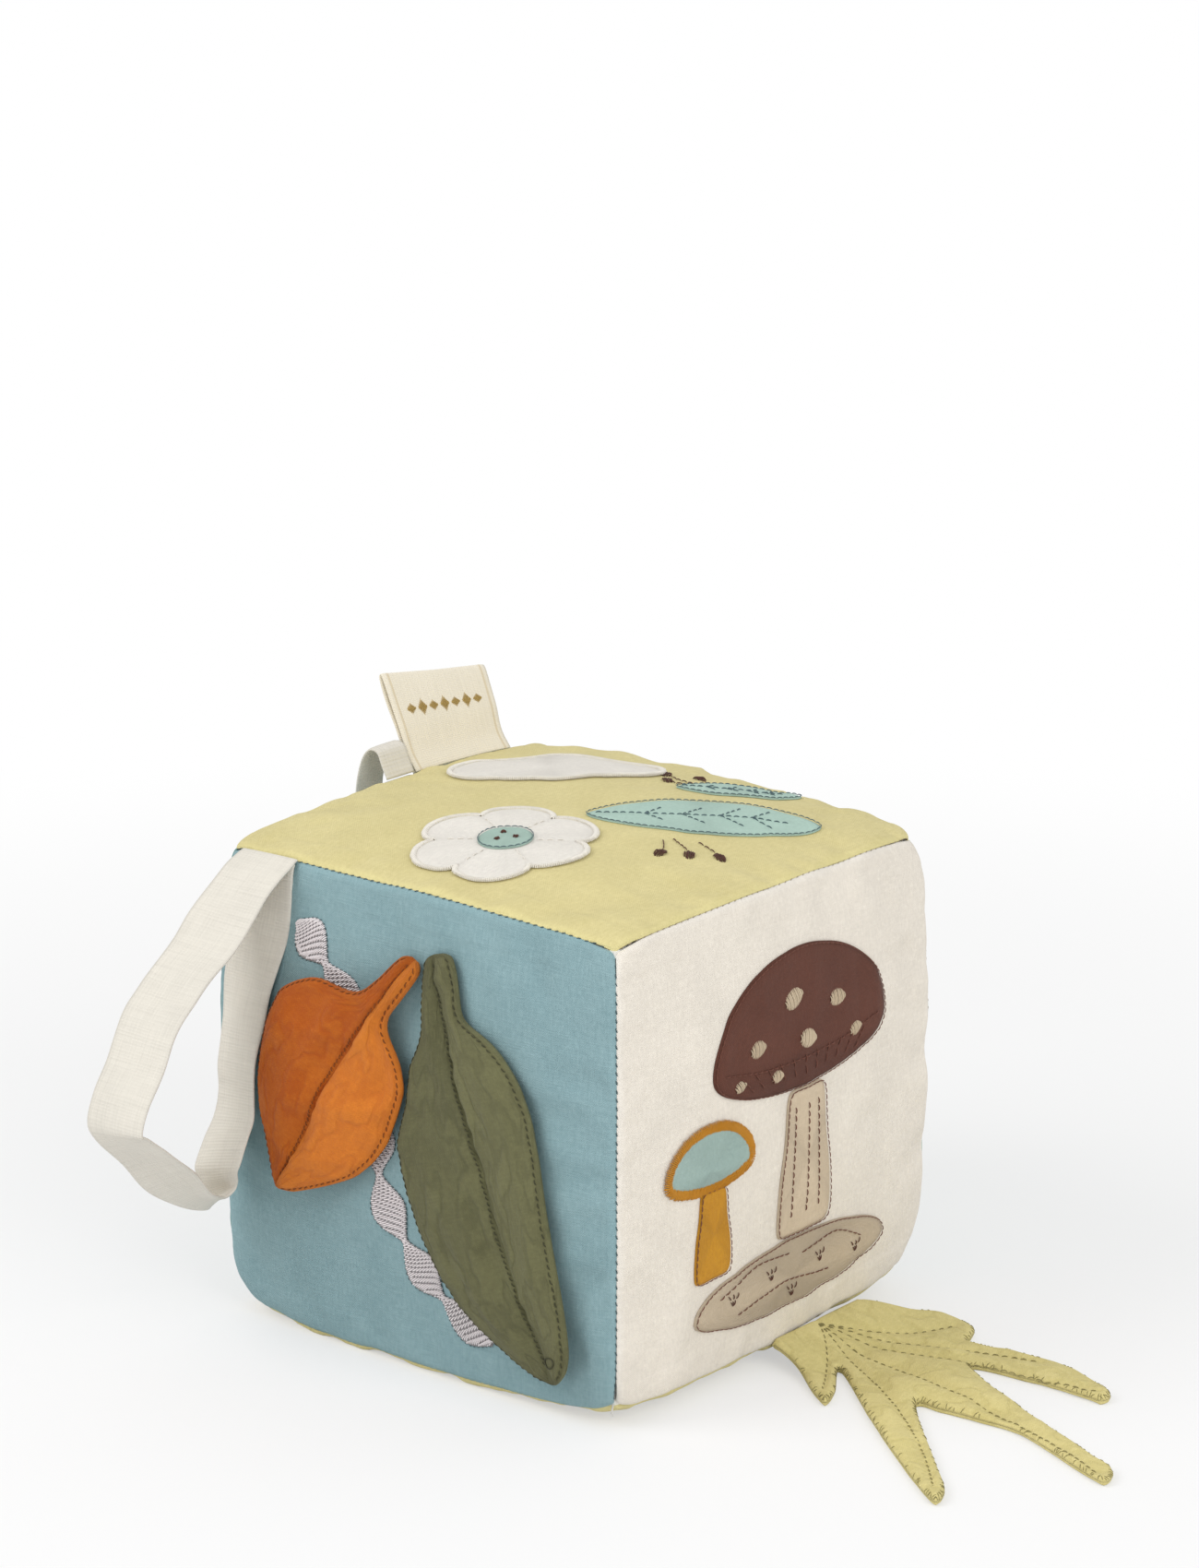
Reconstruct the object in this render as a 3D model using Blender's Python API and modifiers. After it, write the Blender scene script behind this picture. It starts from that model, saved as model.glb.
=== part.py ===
"""Soft fabric activity block for a baby.

A stuffed cloth cube of six crowned panels over a foam core with a rattle capsule.  Two cloth
leaves hang on the front panel, a webbed leaf is sewn into the bottom seam of the right panel,
and two ribbon loops and a folded tag are sewn into the top seams.  The origin is the centre of
the base, +Z is up, the leaves hang on the -Y panel and the webbed leaf reaches out to +X.
"""

import math

import bmesh
import bpy
from mathutils import Vector

# Block: seam to seam sizes, stuffing and cloth
BLOCK_WIDTH = 0.1377
BLOCK_DEPTH = 0.1299
BLOCK_HEIGHT = 0.1300
SIDE_CROWN = 0.0040
TOP_CROWN = 0.0065
BASE_CROWN = 0.0110
SEAM_BOW = 0.0018
PANEL_CLOTH = 0.0012
CLEARANCE = 0.0003
CROWN_POWER = 3.0
CORNER_POWER = 7.0

# Height of the bottom seam above the floor at its four corners
FRONT_LEFT_SEAM = 0.0020
FRONT_RIGHT_SEAM = 0.0042
BACK_RIGHT_SEAM = 0.0100
BACK_LEFT_SEAM = 0.0065

# How far each corner is drawn in by its three seams
TOP_CORNER_PULL = 0.0012
BASE_CORNER_PULL = 0.0026
NEAR_CORNER_PULL = 0.0010

# Rattle capsule and beads, in a pocket of the foam
CAPSULE_RADIUS = 0.0220
CAPSULE_WALL = 0.0016
BEAD_RADIUS = 0.0040
BEAD_RING_RADIUS = 0.0090
BEAD_COUNT = 3

# Flat shapes sewn on the panels
PATCH_CLOTH = 0.0006
THREAD_HEIGHT = 0.0005

# Leaves: each is two cloths with a crinkle film between them; the root's inset is from the
# block's left corner, like the ribbon's
LEAF_CLOTH = 0.0009
FILM = 0.0002
ORANGE_LENGTH = 0.0858
ORANGE_HALF_WIDTH = 0.0300
ORANGE_ROOT_INSET = 0.07525
ORANGE_ROOT_DROP = 0.0165
ORANGE_PROUD = 0.0112
GREEN_LENGTH = 0.1170
GREEN_HALF_WIDTH = 0.0360
GREEN_ROOT_INSET = 0.08425
GREEN_ROOT_DROP = 0.0115
GREEN_PROUD = 0.0078
LEAF_EDGE_DROOP = 0.0007
ORANGE_RIGHT_DROOP = 0.0048
LEAF_LIFT_SHARE = 0.30

# Webbed leaf on the floor
FAN_LENGTH = 0.1150
FAN_HALF_WIDTH = 0.0640
FAN_MIDDLE_Y = 0.0170
FAN_SLOPE = 0.0200

# Ribbon loops and tag; the inset is the ribbon's middle from the left corner
TAPE = 0.0010
TAPE_ROOT_GAP = 0.0012
LOOP_WIDTH = 0.0210
LOOP_INSET = 0.01735
LOOP_REACH = 0.0539
LOOP_DROP = 0.0977
LOOP_LEAN = 0.0088
REAR_LOOP_WIDTH = 0.0110
REAR_LOOP_MIDDLE_Y = 0.0077
REAR_LOOP_REACH = 0.0120
REAR_LOOP_DROP = 0.0340
TAG_TAPE = 0.0006
TAG_WIDTH = 0.0385
TAG_MIDDLE_Y = 0.0334
TAG_REACH = 0.0110
TAG_HEIGHT = 0.0235

# Station tables: (share of length, left, middle, right share of the half width)
ORANGE_SHARES = (
    (0.00, -0.140, -0.047, 0.047),
    (0.03, -0.177, -0.050, 0.080),
    (0.12, -0.207, -0.047, 0.087),
    (0.20, -0.267, -0.047, 0.077),
    (0.245, -0.400, -0.050, 0.150),
    (0.285, -0.717, -0.053, 0.390),
    (0.36, -0.883, -0.063, 0.560),
    (0.44, -1.000, -0.080, 0.612),
    (0.57, -0.957, -0.093, 0.670),
    (0.66, -0.867, -0.067, 0.650),
    (0.75, -0.740, -0.033, 0.580),
    (0.83, -0.567, -0.027, 0.440),
    (0.90, -0.350, -0.027, 0.300),
    (0.96, -0.173, -0.027, 0.167),
    (1.00, -0.087, -0.027, 0.073),
)
GREEN_SHARES = (
    (0.00, -0.222, -0.119, 0.033),
    (0.03, -0.248, -0.122, 0.061),
    (0.10, -0.333, -0.128, 0.042),
    (0.16, -0.390, -0.136, 0.014),
    (0.20, -0.486, -0.139, 0.194),
    (0.24, -0.622, -0.142, 0.300),
    (0.27, -0.660, -0.142, 0.345),
    (0.31, -0.730, -0.142, 0.403),
    (0.35, -0.830, -0.142, 0.420),
    (0.40, -0.958, -0.142, 0.433),
    (0.50, -1.000, -0.147, 0.392),
    (0.60, -0.986, -0.164, 0.328),
    (0.70, -0.917, -0.161, 0.283),
    (0.80, -0.772, -0.128, 0.242),
    (0.88, -0.556, -0.089, 0.203),
    (0.94, -0.347, -0.067, 0.156),
    (0.975, -0.222, -0.056, 0.094),
    (1.00, -0.117, -0.044, 0.017),
)
# The direction that each leaf hangs in, as shares of its length along +X and +Z
ORANGE_HANG_SHARES = (-0.541, -0.841)
GREEN_HANG_SHARES = (0.350, -0.937)
# Where a leaf's film starts and ends along it, and how much of the width it fills
FILM_SHARES = (0.26, 0.93, 0.82)

# Outline of the webbed leaf: shares of its length and of its half width, once round from the
# left end of its sewn edge to the right end
FAN_SHARES = (
    (0.000, -0.310), (0.097, -0.350), (0.200, -0.470), (0.247, -0.510), (0.227, -0.400),
    (0.156, -0.200), (0.360, -0.490), (0.527, -0.720), (0.746, -1.000), (0.778, -0.990),
    (0.743, -0.880), (0.636, -0.690), (0.420, -0.300), (0.470, -0.260), (0.572, -0.245),
    (0.695, -0.245), (0.928, -0.400), (1.000, -0.430), (0.975, -0.315), (0.870, -0.235),
    (0.613, -0.045), (0.375, 0.180), (0.537, 0.235), (0.674, 0.238), (0.726, 0.240),
    (0.710, 0.330), (0.540, 0.436), (0.420, 0.425), (0.290, 0.385), (0.270, 0.445),
    (0.238, 0.530), (0.143, 0.560), (0.085, 0.440), (0.000, 0.316),
)
FAN_FILM_SHARES = (
    (0.050, -0.200), (0.130, -0.120), (0.340, -0.340), (0.380, -0.240), (0.440, -0.180),
    (0.540, -0.160), (0.330, 0.130), (0.380, 0.300), (0.180, 0.350), (0.050, 0.200),
)
FAN_BEND_SHARES = (0.18, 0.36, 0.54, 0.72, 0.90)

# Ribbon loop: share of reach, of drop and of lean at its middle line, then how far its right
# edge swings out and dips as shares of its half width; from the outer end in the seam, round
# the loop, to the inner end
LOOP_SHARES = (
    (0.056, 0.010, 0.00, 0.00, 0.00), (0.139, 0.041, 0.04, 0.00, 0.00),
    (0.218, 0.086, 0.18, 0.00, 0.00), (0.328, 0.173, 0.40, 0.00, 0.00),
    (0.431, 0.250, 0.58, 0.00, 0.00), (0.606, 0.332, 0.72, 0.00, 0.00),
    (0.745, 0.408, 0.79, 0.00, 0.00), (0.839, 0.506, 0.81, 0.00, 0.00),
    (0.950, 0.592, 0.78, 0.02, 0.00), (1.000, 0.662, 0.76, 0.05, -0.05),
    (0.957, 0.699, 0.73, 0.08, -0.25), (0.792, 0.782, 0.77, 0.07, -0.37),
    (0.622, 0.873, 0.80, 0.05, -0.42), (0.436, 0.954, 0.87, 0.22, -0.49),
    (0.280, 0.998, 0.98, 0.40, -0.52), (0.237, 0.985, 0.90, 0.38, -0.50),
    (0.252, 0.955, 0.82, 0.30, -0.45), (0.300, 0.910, 0.72, 0.20, -0.36),
    (0.312, 0.870, 0.68, 0.10, -0.28), (0.250, 0.805, 0.70, 0.14, -0.26),
    (0.190, 0.755, 0.72, 0.22, -0.22), (0.160, 0.688, 0.73, 0.30, -0.20),
    (0.152, 0.620, 0.73, 0.30, -0.19), (0.132, 0.555, 0.73, 0.28, -0.18),
    (0.095, 0.430, 0.66, 0.20, -0.10), (0.078, 0.310, 0.40, 0.10, -0.03),
    (0.050, 0.130, 0.10, 0.00, 0.00),
)
# Rear loop: share of reach and of drop.  Tag: the same five shares as the ribbon
REAR_LOOP_SHARES = (
    (0.16, -0.12), (0.30, -0.22), (0.58, -0.22), (0.82, -0.10), (0.97, 0.15), (1.00, 0.50),
    (0.92, 0.84), (0.72, 1.00), (0.46, 0.92), (0.33, 0.66), (0.24, 0.36), (0.20, 0.15),
)
TAG_SHARES = (
    (0.29, -0.20, 0.00, -0.02, 0.02), (0.50, -0.50, 0.00, -0.06, 0.06),
    (0.76, -0.80, 0.00, -0.10, 0.10), (0.93, -0.97, 0.00, -0.12, 0.12),
    (1.00, -1.00, 0.00, -0.12, 0.12), (1.02, -0.93, 0.00, -0.12, 0.12),
    (0.86, -0.68, 0.00, -0.09, 0.09), (0.62, -0.40, 0.00, -0.05, 0.05),
    (0.37, -0.13, 0.00, -0.01, 0.01),
)

# Pictures: centre as shares of the half panel, size as shares of the half panel height
DAISY_SHARES = (0.05, -0.50, 0.38)
CLOUD_SHARES = (-0.46, 0.40, 0.48)
LARGE_SPRIG_SHARES = (0.44, 0.26, 0.48)
SMALL_SPRIG_SHARES = (0.28, 0.70, 0.26)
MOUND_SHARES = (0.05, -0.72, 0.62)
STEM_SHARES = (0.10, -0.20, 0.36)
CAP_SHARES = (0.08, 0.30, 0.56)
SMALL_STEM_SHARES = (-0.48, -0.35, 0.22)
SMALL_CAP_SHARES = (-0.50, -0.07, 0.24)
VINE_SHARES = (
    (0.42, -0.80), (0.18, -0.66), (0.00, -0.46), (-0.12, -0.20), (-0.14, 0.10),
    (-0.22, 0.38), (-0.40, 0.62), (-0.56, 0.76),
)
VINE_WIDTH = 0.0022
VINE_LEAF = 0.0052
VINE_LEAVES = 7

# Shapes of the pictures, as shares of their size
DAISY_NOTCH_SHARE = 0.74
DISC_SHARE = 0.30
CLOUD_SLIM_SHARE = 0.46
CLOUD_BUMP_SHARE = 0.07
LARGE_SPRIG_SLIM_SHARE = 0.42
SMALL_SPRIG_SLIM_SHARE = 0.45
MOUND_SLIM_SHARE = 0.30
MOUND_FOOT_SHARE = 1.6
STEM_SLIM_SHARE = 0.42
STEM_TAPER_SHARE = 0.08
STEM_END_SHARE = 0.90
CAP_BRIM_SHARE = 0.30
CAP_DOME_SHARE = 0.76
PETAL_COUNT = 6
CLOUD_BUMPS = 5
PICTURE_TURN = math.radians(40)

# Mesh steps
PANEL_CELLS = 10
TURN_STEPS = 20
ARC_STEPS = 7
BEAD_SEGMENTS = 10
BEAD_RINGS = 8
LEAF_COLUMNS = 4
ORANGE_ROWS = 20
GREEN_ROWS = 22
OUTLINE_STEPS = 2
STRIP_COLUMNS = 2
LOOP_ROWS = 64
REAR_LOOP_ROWS = 40
TAG_ROWS = 32
VINE_ROWS = 56
VINE_STEP = 0.01
SHARP_ANGLE = math.radians(50)
MERGE_DISTANCE = 0.00001

PALETTE = {
    "blue": (0.272, 0.408, 0.429),
    "teal": (0.160, 0.280, 0.250),
    "cream": (0.790, 0.740, 0.660),
    "straw": (0.730, 0.658, 0.342),
    "foam": (0.850, 0.850, 0.800),
    "white": (0.860, 0.830, 0.760),
    "mint": (0.462, 0.650, 0.525),
    "brown": (0.107, 0.042, 0.031),
    "beige": (0.578, 0.468, 0.342),
    "mustard": (0.584, 0.254, 0.019),
    "haze": (0.348, 0.480, 0.434),
    "lilac": (0.665, 0.604, 0.604),
    "orange": (0.552, 0.141, 0.023),
    "green": (0.181, 0.202, 0.093),
    "fan": (0.578, 0.479, 0.156),
    "tape": (0.855, 0.831, 0.753),
    "tag": (0.855, 0.791, 0.658),
    "plastic": (0.700, 0.720, 0.740),
    "bead": (0.250, 0.260, 0.280),
    "film": (0.800, 0.820, 0.850),
}

HALF = Vector((BLOCK_WIDTH / 2, BLOCK_DEPTH / 2, BLOCK_HEIGHT / 2))
TOP_SEAM = FRONT_RIGHT_SEAM + BLOCK_HEIGHT
LEAF_STACK = 2 * LEAF_CLOTH + FILM + 2 * CLEARANCE


def clear_scene():
    """Remove every object of the open file."""
    for obj in list(bpy.data.objects):
        bpy.data.objects.remove(obj, do_unlink=True)


def make_collections():
    """The part's own collection, and one for its cutters."""
    part = bpy.data.collections.new("soft_fabric_block")
    cutters = bpy.data.collections.new("cutters")
    bpy.context.scene.collection.children.link(part)
    bpy.context.scene.collection.children.link(cutters)
    return part, cutters


def material(name, color_name, roughness=0.9, metallic=0.0):
    """A plain material of one of the palette's colours."""
    made = bpy.data.materials.new(name)
    made.use_nodes = True
    shader = made.node_tree.nodes["Principled BSDF"]
    shader.inputs["Base Color"].default_value = (*PALETTE[color_name], 1.0)
    shader.inputs["Roughness"].default_value = roughness
    shader.inputs["Metallic"].default_value = metallic
    return made


def add_object(name, mesh, collection, color_name, pivot=None, roughness=0.9):
    """Link a mesh modelled in world places; a moving piece gets its origin at its pivot."""
    obj = bpy.data.objects.new(name, mesh)
    collection.objects.link(obj)
    obj.data.materials.append(material(name, color_name, roughness))
    if pivot is not None:
        for vertex in mesh.vertices:
            vertex.co -= pivot.location
        obj.parent = pivot
    return obj


def add_pivot(name, place, collection):
    """An empty on a joint's axis."""
    pivot = bpy.data.objects.new(name, None)
    pivot.location = place
    collection.objects.link(pivot)
    return pivot


def mesh_from(name, bm):
    """Turn a closed bmesh into a mesh whose bent faces are split along their short diagonal."""
    bmesh.ops.triangulate(bm, faces=bm.faces[:], quad_method="SHORT_EDGE")
    bmesh.ops.recalc_face_normals(bm, faces=bm.faces[:])
    mesh = bpy.data.meshes.new(name)
    bm.to_mesh(mesh)
    bm.free()
    mesh.shade_smooth()
    mesh.set_sharp_from_angle(angle=SHARP_ANGLE)
    return mesh


def two_sided_sheet(name, place, columns, rows):
    """A closed sheet: place(a, b, side) puts a grid point on its outer (0) or inner (1) face."""
    bm = bmesh.new()
    loops = []
    for side in (0, 1):
        made = bmesh.ops.create_grid(bm, x_segments=columns, y_segments=rows, size=1.0)
        verts = made["verts"]
        faces = {face for vert in verts for face in vert.link_faces}
        loops += [edge for edge in {e for v in verts for e in v.link_edges} if edge.is_boundary]
        for vert in verts:
            vert.co = place(vert.co.x, vert.co.y, side)
        if side:
            bmesh.ops.reverse_faces(bm, faces=list(faces))
    bmesh.ops.bridge_loops(bm, edges=loops)
    return mesh_from(name, bm)


def seam_lift(u, v):
    """Height of the bottom seam at a place across the block, from its four corners."""
    right = (1 + u) / 2
    back = (1 + v) / 2
    front_height = FRONT_LEFT_SEAM + (FRONT_RIGHT_SEAM - FRONT_LEFT_SEAM) * right
    back_height = BACK_LEFT_SEAM + (BACK_RIGHT_SEAM - BACK_LEFT_SEAM) * right
    return front_height + (back_height - front_height) * back


def corner_pull(u, v, w):
    """Pull of the seams at the corner of the octant that a point is in."""
    if w > 0:
        return TOP_CORNER_PULL
    if u > 0 and v < 0:
        return NEAR_CORNER_PULL
    return BASE_CORNER_PULL


def block_point(u, v, w, inset=0.0):
    """The place in the stuffed block of a point of the unit cube, at a depth under the cloth."""
    unit = (u, v, w)
    crowns = (SIDE_CROWN, SIDE_CROWN, TOP_CROWN if w > 0 else BASE_CROWN)
    pull = corner_pull(u, v, w) * abs(u * v * w) ** CORNER_POWER
    place = Vector()
    for axis in range(3):
        own = unit[axis]
        first, second = unit[axis - 2], unit[axis - 1]
        crown = (1 - abs(first) ** CROWN_POWER) * (1 - abs(second) ** CROWN_POWER)
        bow = 1 - (first * second) ** 2
        swell = crowns[axis] * crown + SEAM_BOW * bow - pull
        place[axis] = own * (HALF[axis] - inset) + math.copysign(abs(own) ** 4, own) * swell
    seam = seam_lift(u, v)
    rise = seam + (TOP_SEAM - BLOCK_HEIGHT - seam) * (1 + w) / 2
    place.z += rise + HALF.z
    place.z = max(place.z, inset)
    return place


def surface_point(face, a, b, height=0.0):
    """A point over a panel: a and b run across it from -1 to 1, height stands off its cloth."""
    if face == "front":
        return block_point(a, -1, b) + Vector((0, -height, 0))
    if face == "right":
        return block_point(1, a, b) + Vector((height, 0, 0))
    return block_point(a, b, 1) + Vector((0, 0, height))


def make_panels(part):
    """Six crowned cloth panels that meet in mitred seams."""
    edge = 1 - CLEARANCE / math.sqrt(2) / HALF.x
    faces = {
        "front_panel": ("blue", lambda a, b: (a, -1, b)),
        "back_panel": ("mint", lambda a, b: (a, 1, b)),
        "left_panel": ("teal", lambda a, b: (-1, a, b)),
        "right_panel": ("cream", lambda a, b: (1, a, b)),
        "top_panel": ("straw", lambda a, b: (a, b, 1)),
        "bottom_panel": ("straw", lambda a, b: (a, b, -1)),
    }
    for name, (color_name, unit) in faces.items():

        def place(a, b, side, unit=unit):
            return block_point(*unit(a * edge, b * edge), inset=side * PANEL_CLOTH)

        mesh = two_sided_sheet(name, place, PANEL_CELLS, PANEL_CELLS)
        add_object(name, mesh, part, color_name)


def make_sphere(name, radius, centre, segments, rings):
    """A ball mesh in world places."""
    bm = bmesh.new()
    bmesh.ops.create_uvsphere(bm, u_segments=segments, v_segments=rings, radius=radius)
    bmesh.ops.translate(bm, verts=bm.verts[:], vec=centre)
    return mesh_from(name, bm)


def block_centre():
    """The middle of the stuffed block."""
    return Vector((0, 0, (TOP_SEAM + seam_lift(0, 0)) / 2))


def make_foam(part, cutters):
    """Two foam halves with a round pocket for the capsule."""
    depth = PANEL_CLOTH + CLEARANCE
    centre = block_centre()
    ball = make_sphere("pocket", CAPSULE_RADIUS + CLEARANCE, centre, TURN_STEPS, 2 * ARC_STEPS)
    cutter = bpy.data.objects.new("pocket_cutter", ball)
    cutters.objects.link(cutter)
    cutter.hide_render = True
    cutter.display_type = "WIRE"
    for name, sign in (("foam_lower", -1), ("foam_upper", 1)):
        bm = bmesh.new()
        bmesh.ops.create_cube(bm, size=2.0)
        cuts = PANEL_CELLS - 1
        bmesh.ops.subdivide_edges(bm, edges=bm.edges[:], cuts=cuts, use_grid_fill=True)
        row = 1 / PANEL_CELLS
        spare = [vert for vert in bm.verts if vert.co.z * sign < -row]
        bmesh.ops.delete(bm, geom=spare, context="VERTS")
        rim = [edge for edge in bm.edges if edge.is_boundary]
        bmesh.ops.contextual_create(bm, geom=rim)
        for vert in bm.verts:
            at_split = abs(vert.co.z) < row
            vert.co = block_point(*vert.co, inset=depth)
            if at_split:
                vert.co.z = centre.z + sign * CLEARANCE / 2
        obj = add_object(name, mesh_from(name, bm), part, "foam", roughness=0.95)
        cut = obj.modifiers.new("pocket", "BOOLEAN")
        cut.operation = "DIFFERENCE"
        cut.solver = "EXACT"
        cut.object = cutter


def make_capsule(part):
    """Two turned shells that close round the beads."""
    centre = block_centre()
    inner = CAPSULE_RADIUS - CAPSULE_WALL
    rim = CLEARANCE / 2
    for name, sign in (("capsule_lower", -1), ("capsule_upper", 1)):
        bm = bmesh.new()
        ring = []
        for radius, steps in ((CAPSULE_RADIUS, range(ARC_STEPS + 1)),
                              (inner, range(ARC_STEPS, -1, -1))):
            low = math.asin(rim / radius)
            for step in steps:
                angle = math.pi / 2 + (low - math.pi / 2) * step / ARC_STEPS
                reach = radius * math.cos(angle) if step else 0.0
                ring.append(bm.verts.new((reach, 0, sign * radius * math.sin(angle))))
        for first, second in zip(ring, ring[1:]):
            bm.edges.new((first, second))
        mesh = bpy.data.meshes.new(name)
        bm.to_mesh(mesh)
        bm.free()
        obj = add_object(name, mesh, part, "plastic", roughness=0.35)
        obj.location = centre
        turn = obj.modifiers.new("turn", "SCREW")
        turn.steps = TURN_STEPS
        turn.render_steps = TURN_STEPS
        turn.use_merge_vertices = True
        turn.merge_threshold = MERGE_DISTANCE
        turn.use_normal_calculate = True
        turn.use_normal_flip = True


def bead_rest(index):
    """Where a bead lies on the capsule's floor."""
    angle = 2 * math.pi * index / BEAD_COUNT + math.pi / 2
    room = CAPSULE_RADIUS - CAPSULE_WALL - BEAD_RADIUS - CLEARANCE
    drop = math.sqrt(room**2 - BEAD_RING_RADIUS**2)
    across = Vector((math.cos(angle), math.sin(angle), 0)) * BEAD_RING_RADIUS
    return block_centre() + across - Vector((0, 0, drop))


def make_beads(part):
    """Loose beads on the floor of the capsule."""
    for index in range(BEAD_COUNT):
        name = f"bead_{index + 1}"
        place = bead_rest(index)
        pivot = add_pivot(f"{name}_pivot", place, part)
        ball = make_sphere(name, BEAD_RADIUS, place, BEAD_SEGMENTS, BEAD_RINGS)
        add_object(name, ball, part, "bead", pivot, 0.4)


def station_value(stations, share, column):
    """A value of a station table at a share of the length, in even steps between stations."""
    for low, high in zip(stations, stations[1:]):
        if share <= high[0]:
            part_way = (share - low[0]) / (high[0] - low[0])
            return low[column] + (high[column] - low[column]) * part_way
    return stations[-1][column]


def leaf_point(leaf, along, across, height):
    """A point of a hanging leaf: along runs from root to tip, across from -1 to 1."""
    hang = Vector((leaf["hang"][0], 0, leaf["hang"][1])).normalized()
    sideways = Vector((-hang.z, 0, hang.x))
    edge_column = 1 if across < 0 else 3
    middle = station_value(leaf["stations"], along, 2)
    edge = station_value(leaf["stations"], along, edge_column)
    offset = leaf["half_width"] * (middle + (edge - middle) * abs(across))
    root = Vector((leaf["root_x"], 0, TOP_SEAM - leaf["root_drop"]))
    place = root + hang * leaf["length"] * along + sideways * offset
    ease = 1 - (1 - min(along / LEAF_LIFT_SHARE, 1.0)) ** 2
    near = leaf_root_proud(leaf)
    droop = leaf["droops"][across > 0] * ((edge - middle) * across) ** 2
    proud = near + (leaf["proud"] - near - droop) * ease
    place.y = -HALF.y - proud - height
    return place


def leaf_root_proud(leaf):
    """How far the middle of the leaf's stack stands off the seam plane at its root."""
    a = leaf["root_x"] / HALF.x
    b = (TOP_SEAM - leaf["root_drop"] - HALF.z - seam_lift(0, 0)) / HALF.z
    face = -surface_point("front", a, b).y - HALF.y
    return face + 2 * CLEARANCE + LEAF_STACK / 2


def leaf_pivot(leaf):
    """The place of the leaf's stitched root, on the front of its stack."""
    return leaf_point(leaf, 0, 0, LEAF_STACK / 2)


def make_leaf(name, leaf, color_name, part, rows):
    """Front cloth, crinkle film and back cloth of a leaf that hangs by its stem."""
    pivot = add_pivot(f"{name}_pivot", leaf_pivot(leaf), part)
    cloth_offset = FILM / 2 + CLEARANCE
    whole = (0.0, 1.0, 1.0)
    layers = (
        ("front", cloth_offset, LEAF_CLOTH, whole, color_name),
        ("film", -FILM / 2, FILM, FILM_SHARES, "film"),
        ("back", -cloth_offset - LEAF_CLOTH, LEAF_CLOTH, whole, color_name),
    )
    for layer, low, thick, shares, layer_color in layers:

        def place(a, b, side, low=low, thick=thick, shares=shares):
            start, end, spread = shares
            along = start + (end - start) * (1 + a) / 2
            return leaf_point(leaf, along, b * spread, low + thick * (1 - side))

        node = f"{name}_{layer}"
        long = rows if layer != "film" else rows // 2
        mesh = two_sided_sheet(node, place, long, LEAF_COLUMNS)
        add_object(node, mesh, part, layer_color, pivot)


def make_leaves(part):
    """The orange and the green leaf on the front panel."""
    orange = {
        "stations": ORANGE_SHARES, "hang": ORANGE_HANG_SHARES, "length": ORANGE_LENGTH,
        "half_width": ORANGE_HALF_WIDTH, "root_x": ORANGE_ROOT_INSET - HALF.x,
        "root_drop": ORANGE_ROOT_DROP, "proud": ORANGE_PROUD,
        "droops": (LEAF_EDGE_DROOP, ORANGE_RIGHT_DROOP),
    }
    green = {
        "stations": GREEN_SHARES, "hang": GREEN_HANG_SHARES, "length": GREEN_LENGTH,
        "half_width": GREEN_HALF_WIDTH, "root_x": GREEN_ROOT_INSET - HALF.x,
        "root_drop": GREEN_ROOT_DROP, "proud": GREEN_PROUD,
        "droops": (LEAF_EDGE_DROOP, LEAF_EDGE_DROOP),
    }
    make_leaf("orange_leaf", orange, "orange", part, ORANGE_ROWS)
    make_leaf("green_leaf", green, "green", part, GREEN_ROWS)


def fan_seam():
    """The point of the right panel's bottom seam where the webbed leaf is sewn in."""
    return block_point(1, FAN_MIDDLE_Y / HALF.y, -1)


def fan_root_x(y):
    """How far out the webbed leaf starts at a place along its seam, clear of the cloth above."""
    above = 2 * LEAF_STACK / BLOCK_HEIGHT - 1
    return block_point(1, y / HALF.y, above).x + CLEARANCE


def fan_rise(distance):
    """How far the webbed leaf's underside is above the floor at a distance from its seam."""
    ease = 1 - min(max(distance / FAN_SLOPE, 0.0), 1.0)
    ease = ease * ease * (3 - 2 * ease)
    return (fan_seam().z - LEAF_STACK / 2) * ease


def flat_outline(name, points, thickness):
    """A flat plate with a smooth outline, as a mesh lying on z = 0."""
    curve = bpy.data.curves.new(name, "CURVE")
    curve.dimensions = "2D"
    curve.fill_mode = "BOTH"
    curve.extrude = thickness / 2
    curve.resolution_u = OUTLINE_STEPS
    curve.render_resolution_u = OUTLINE_STEPS
    spline = curve.splines.new("BEZIER")
    spline.use_cyclic_u = True
    spline.bezier_points.add(len(points) - 1)
    for knot, (x, y) in zip(spline.bezier_points, points):
        knot.co = (x, y, 0)
        knot.handle_left_type = "AUTO"
        knot.handle_right_type = "AUTO"
    ends = (spline.bezier_points[0], spline.bezier_points[-1])
    for knot in ends:
        knot.handle_left_type = "VECTOR"
        knot.handle_right_type = "VECTOR"
    guide = bpy.data.objects.new(f"{name}_outline", curve)
    bpy.context.scene.collection.objects.link(guide)
    bpy.context.view_layer.update()
    evaluated = guide.evaluated_get(bpy.context.evaluated_depsgraph_get())
    mesh = bpy.data.meshes.new_from_object(evaluated)
    bpy.data.objects.remove(guide, do_unlink=True)
    bm = bmesh.new()
    bm.from_mesh(mesh)
    bmesh.ops.remove_doubles(bm, verts=bm.verts[:], dist=MERGE_DISTANCE)
    bmesh.ops.translate(bm, verts=bm.verts[:], vec=(0, 0, thickness / 2))
    return bm


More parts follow.
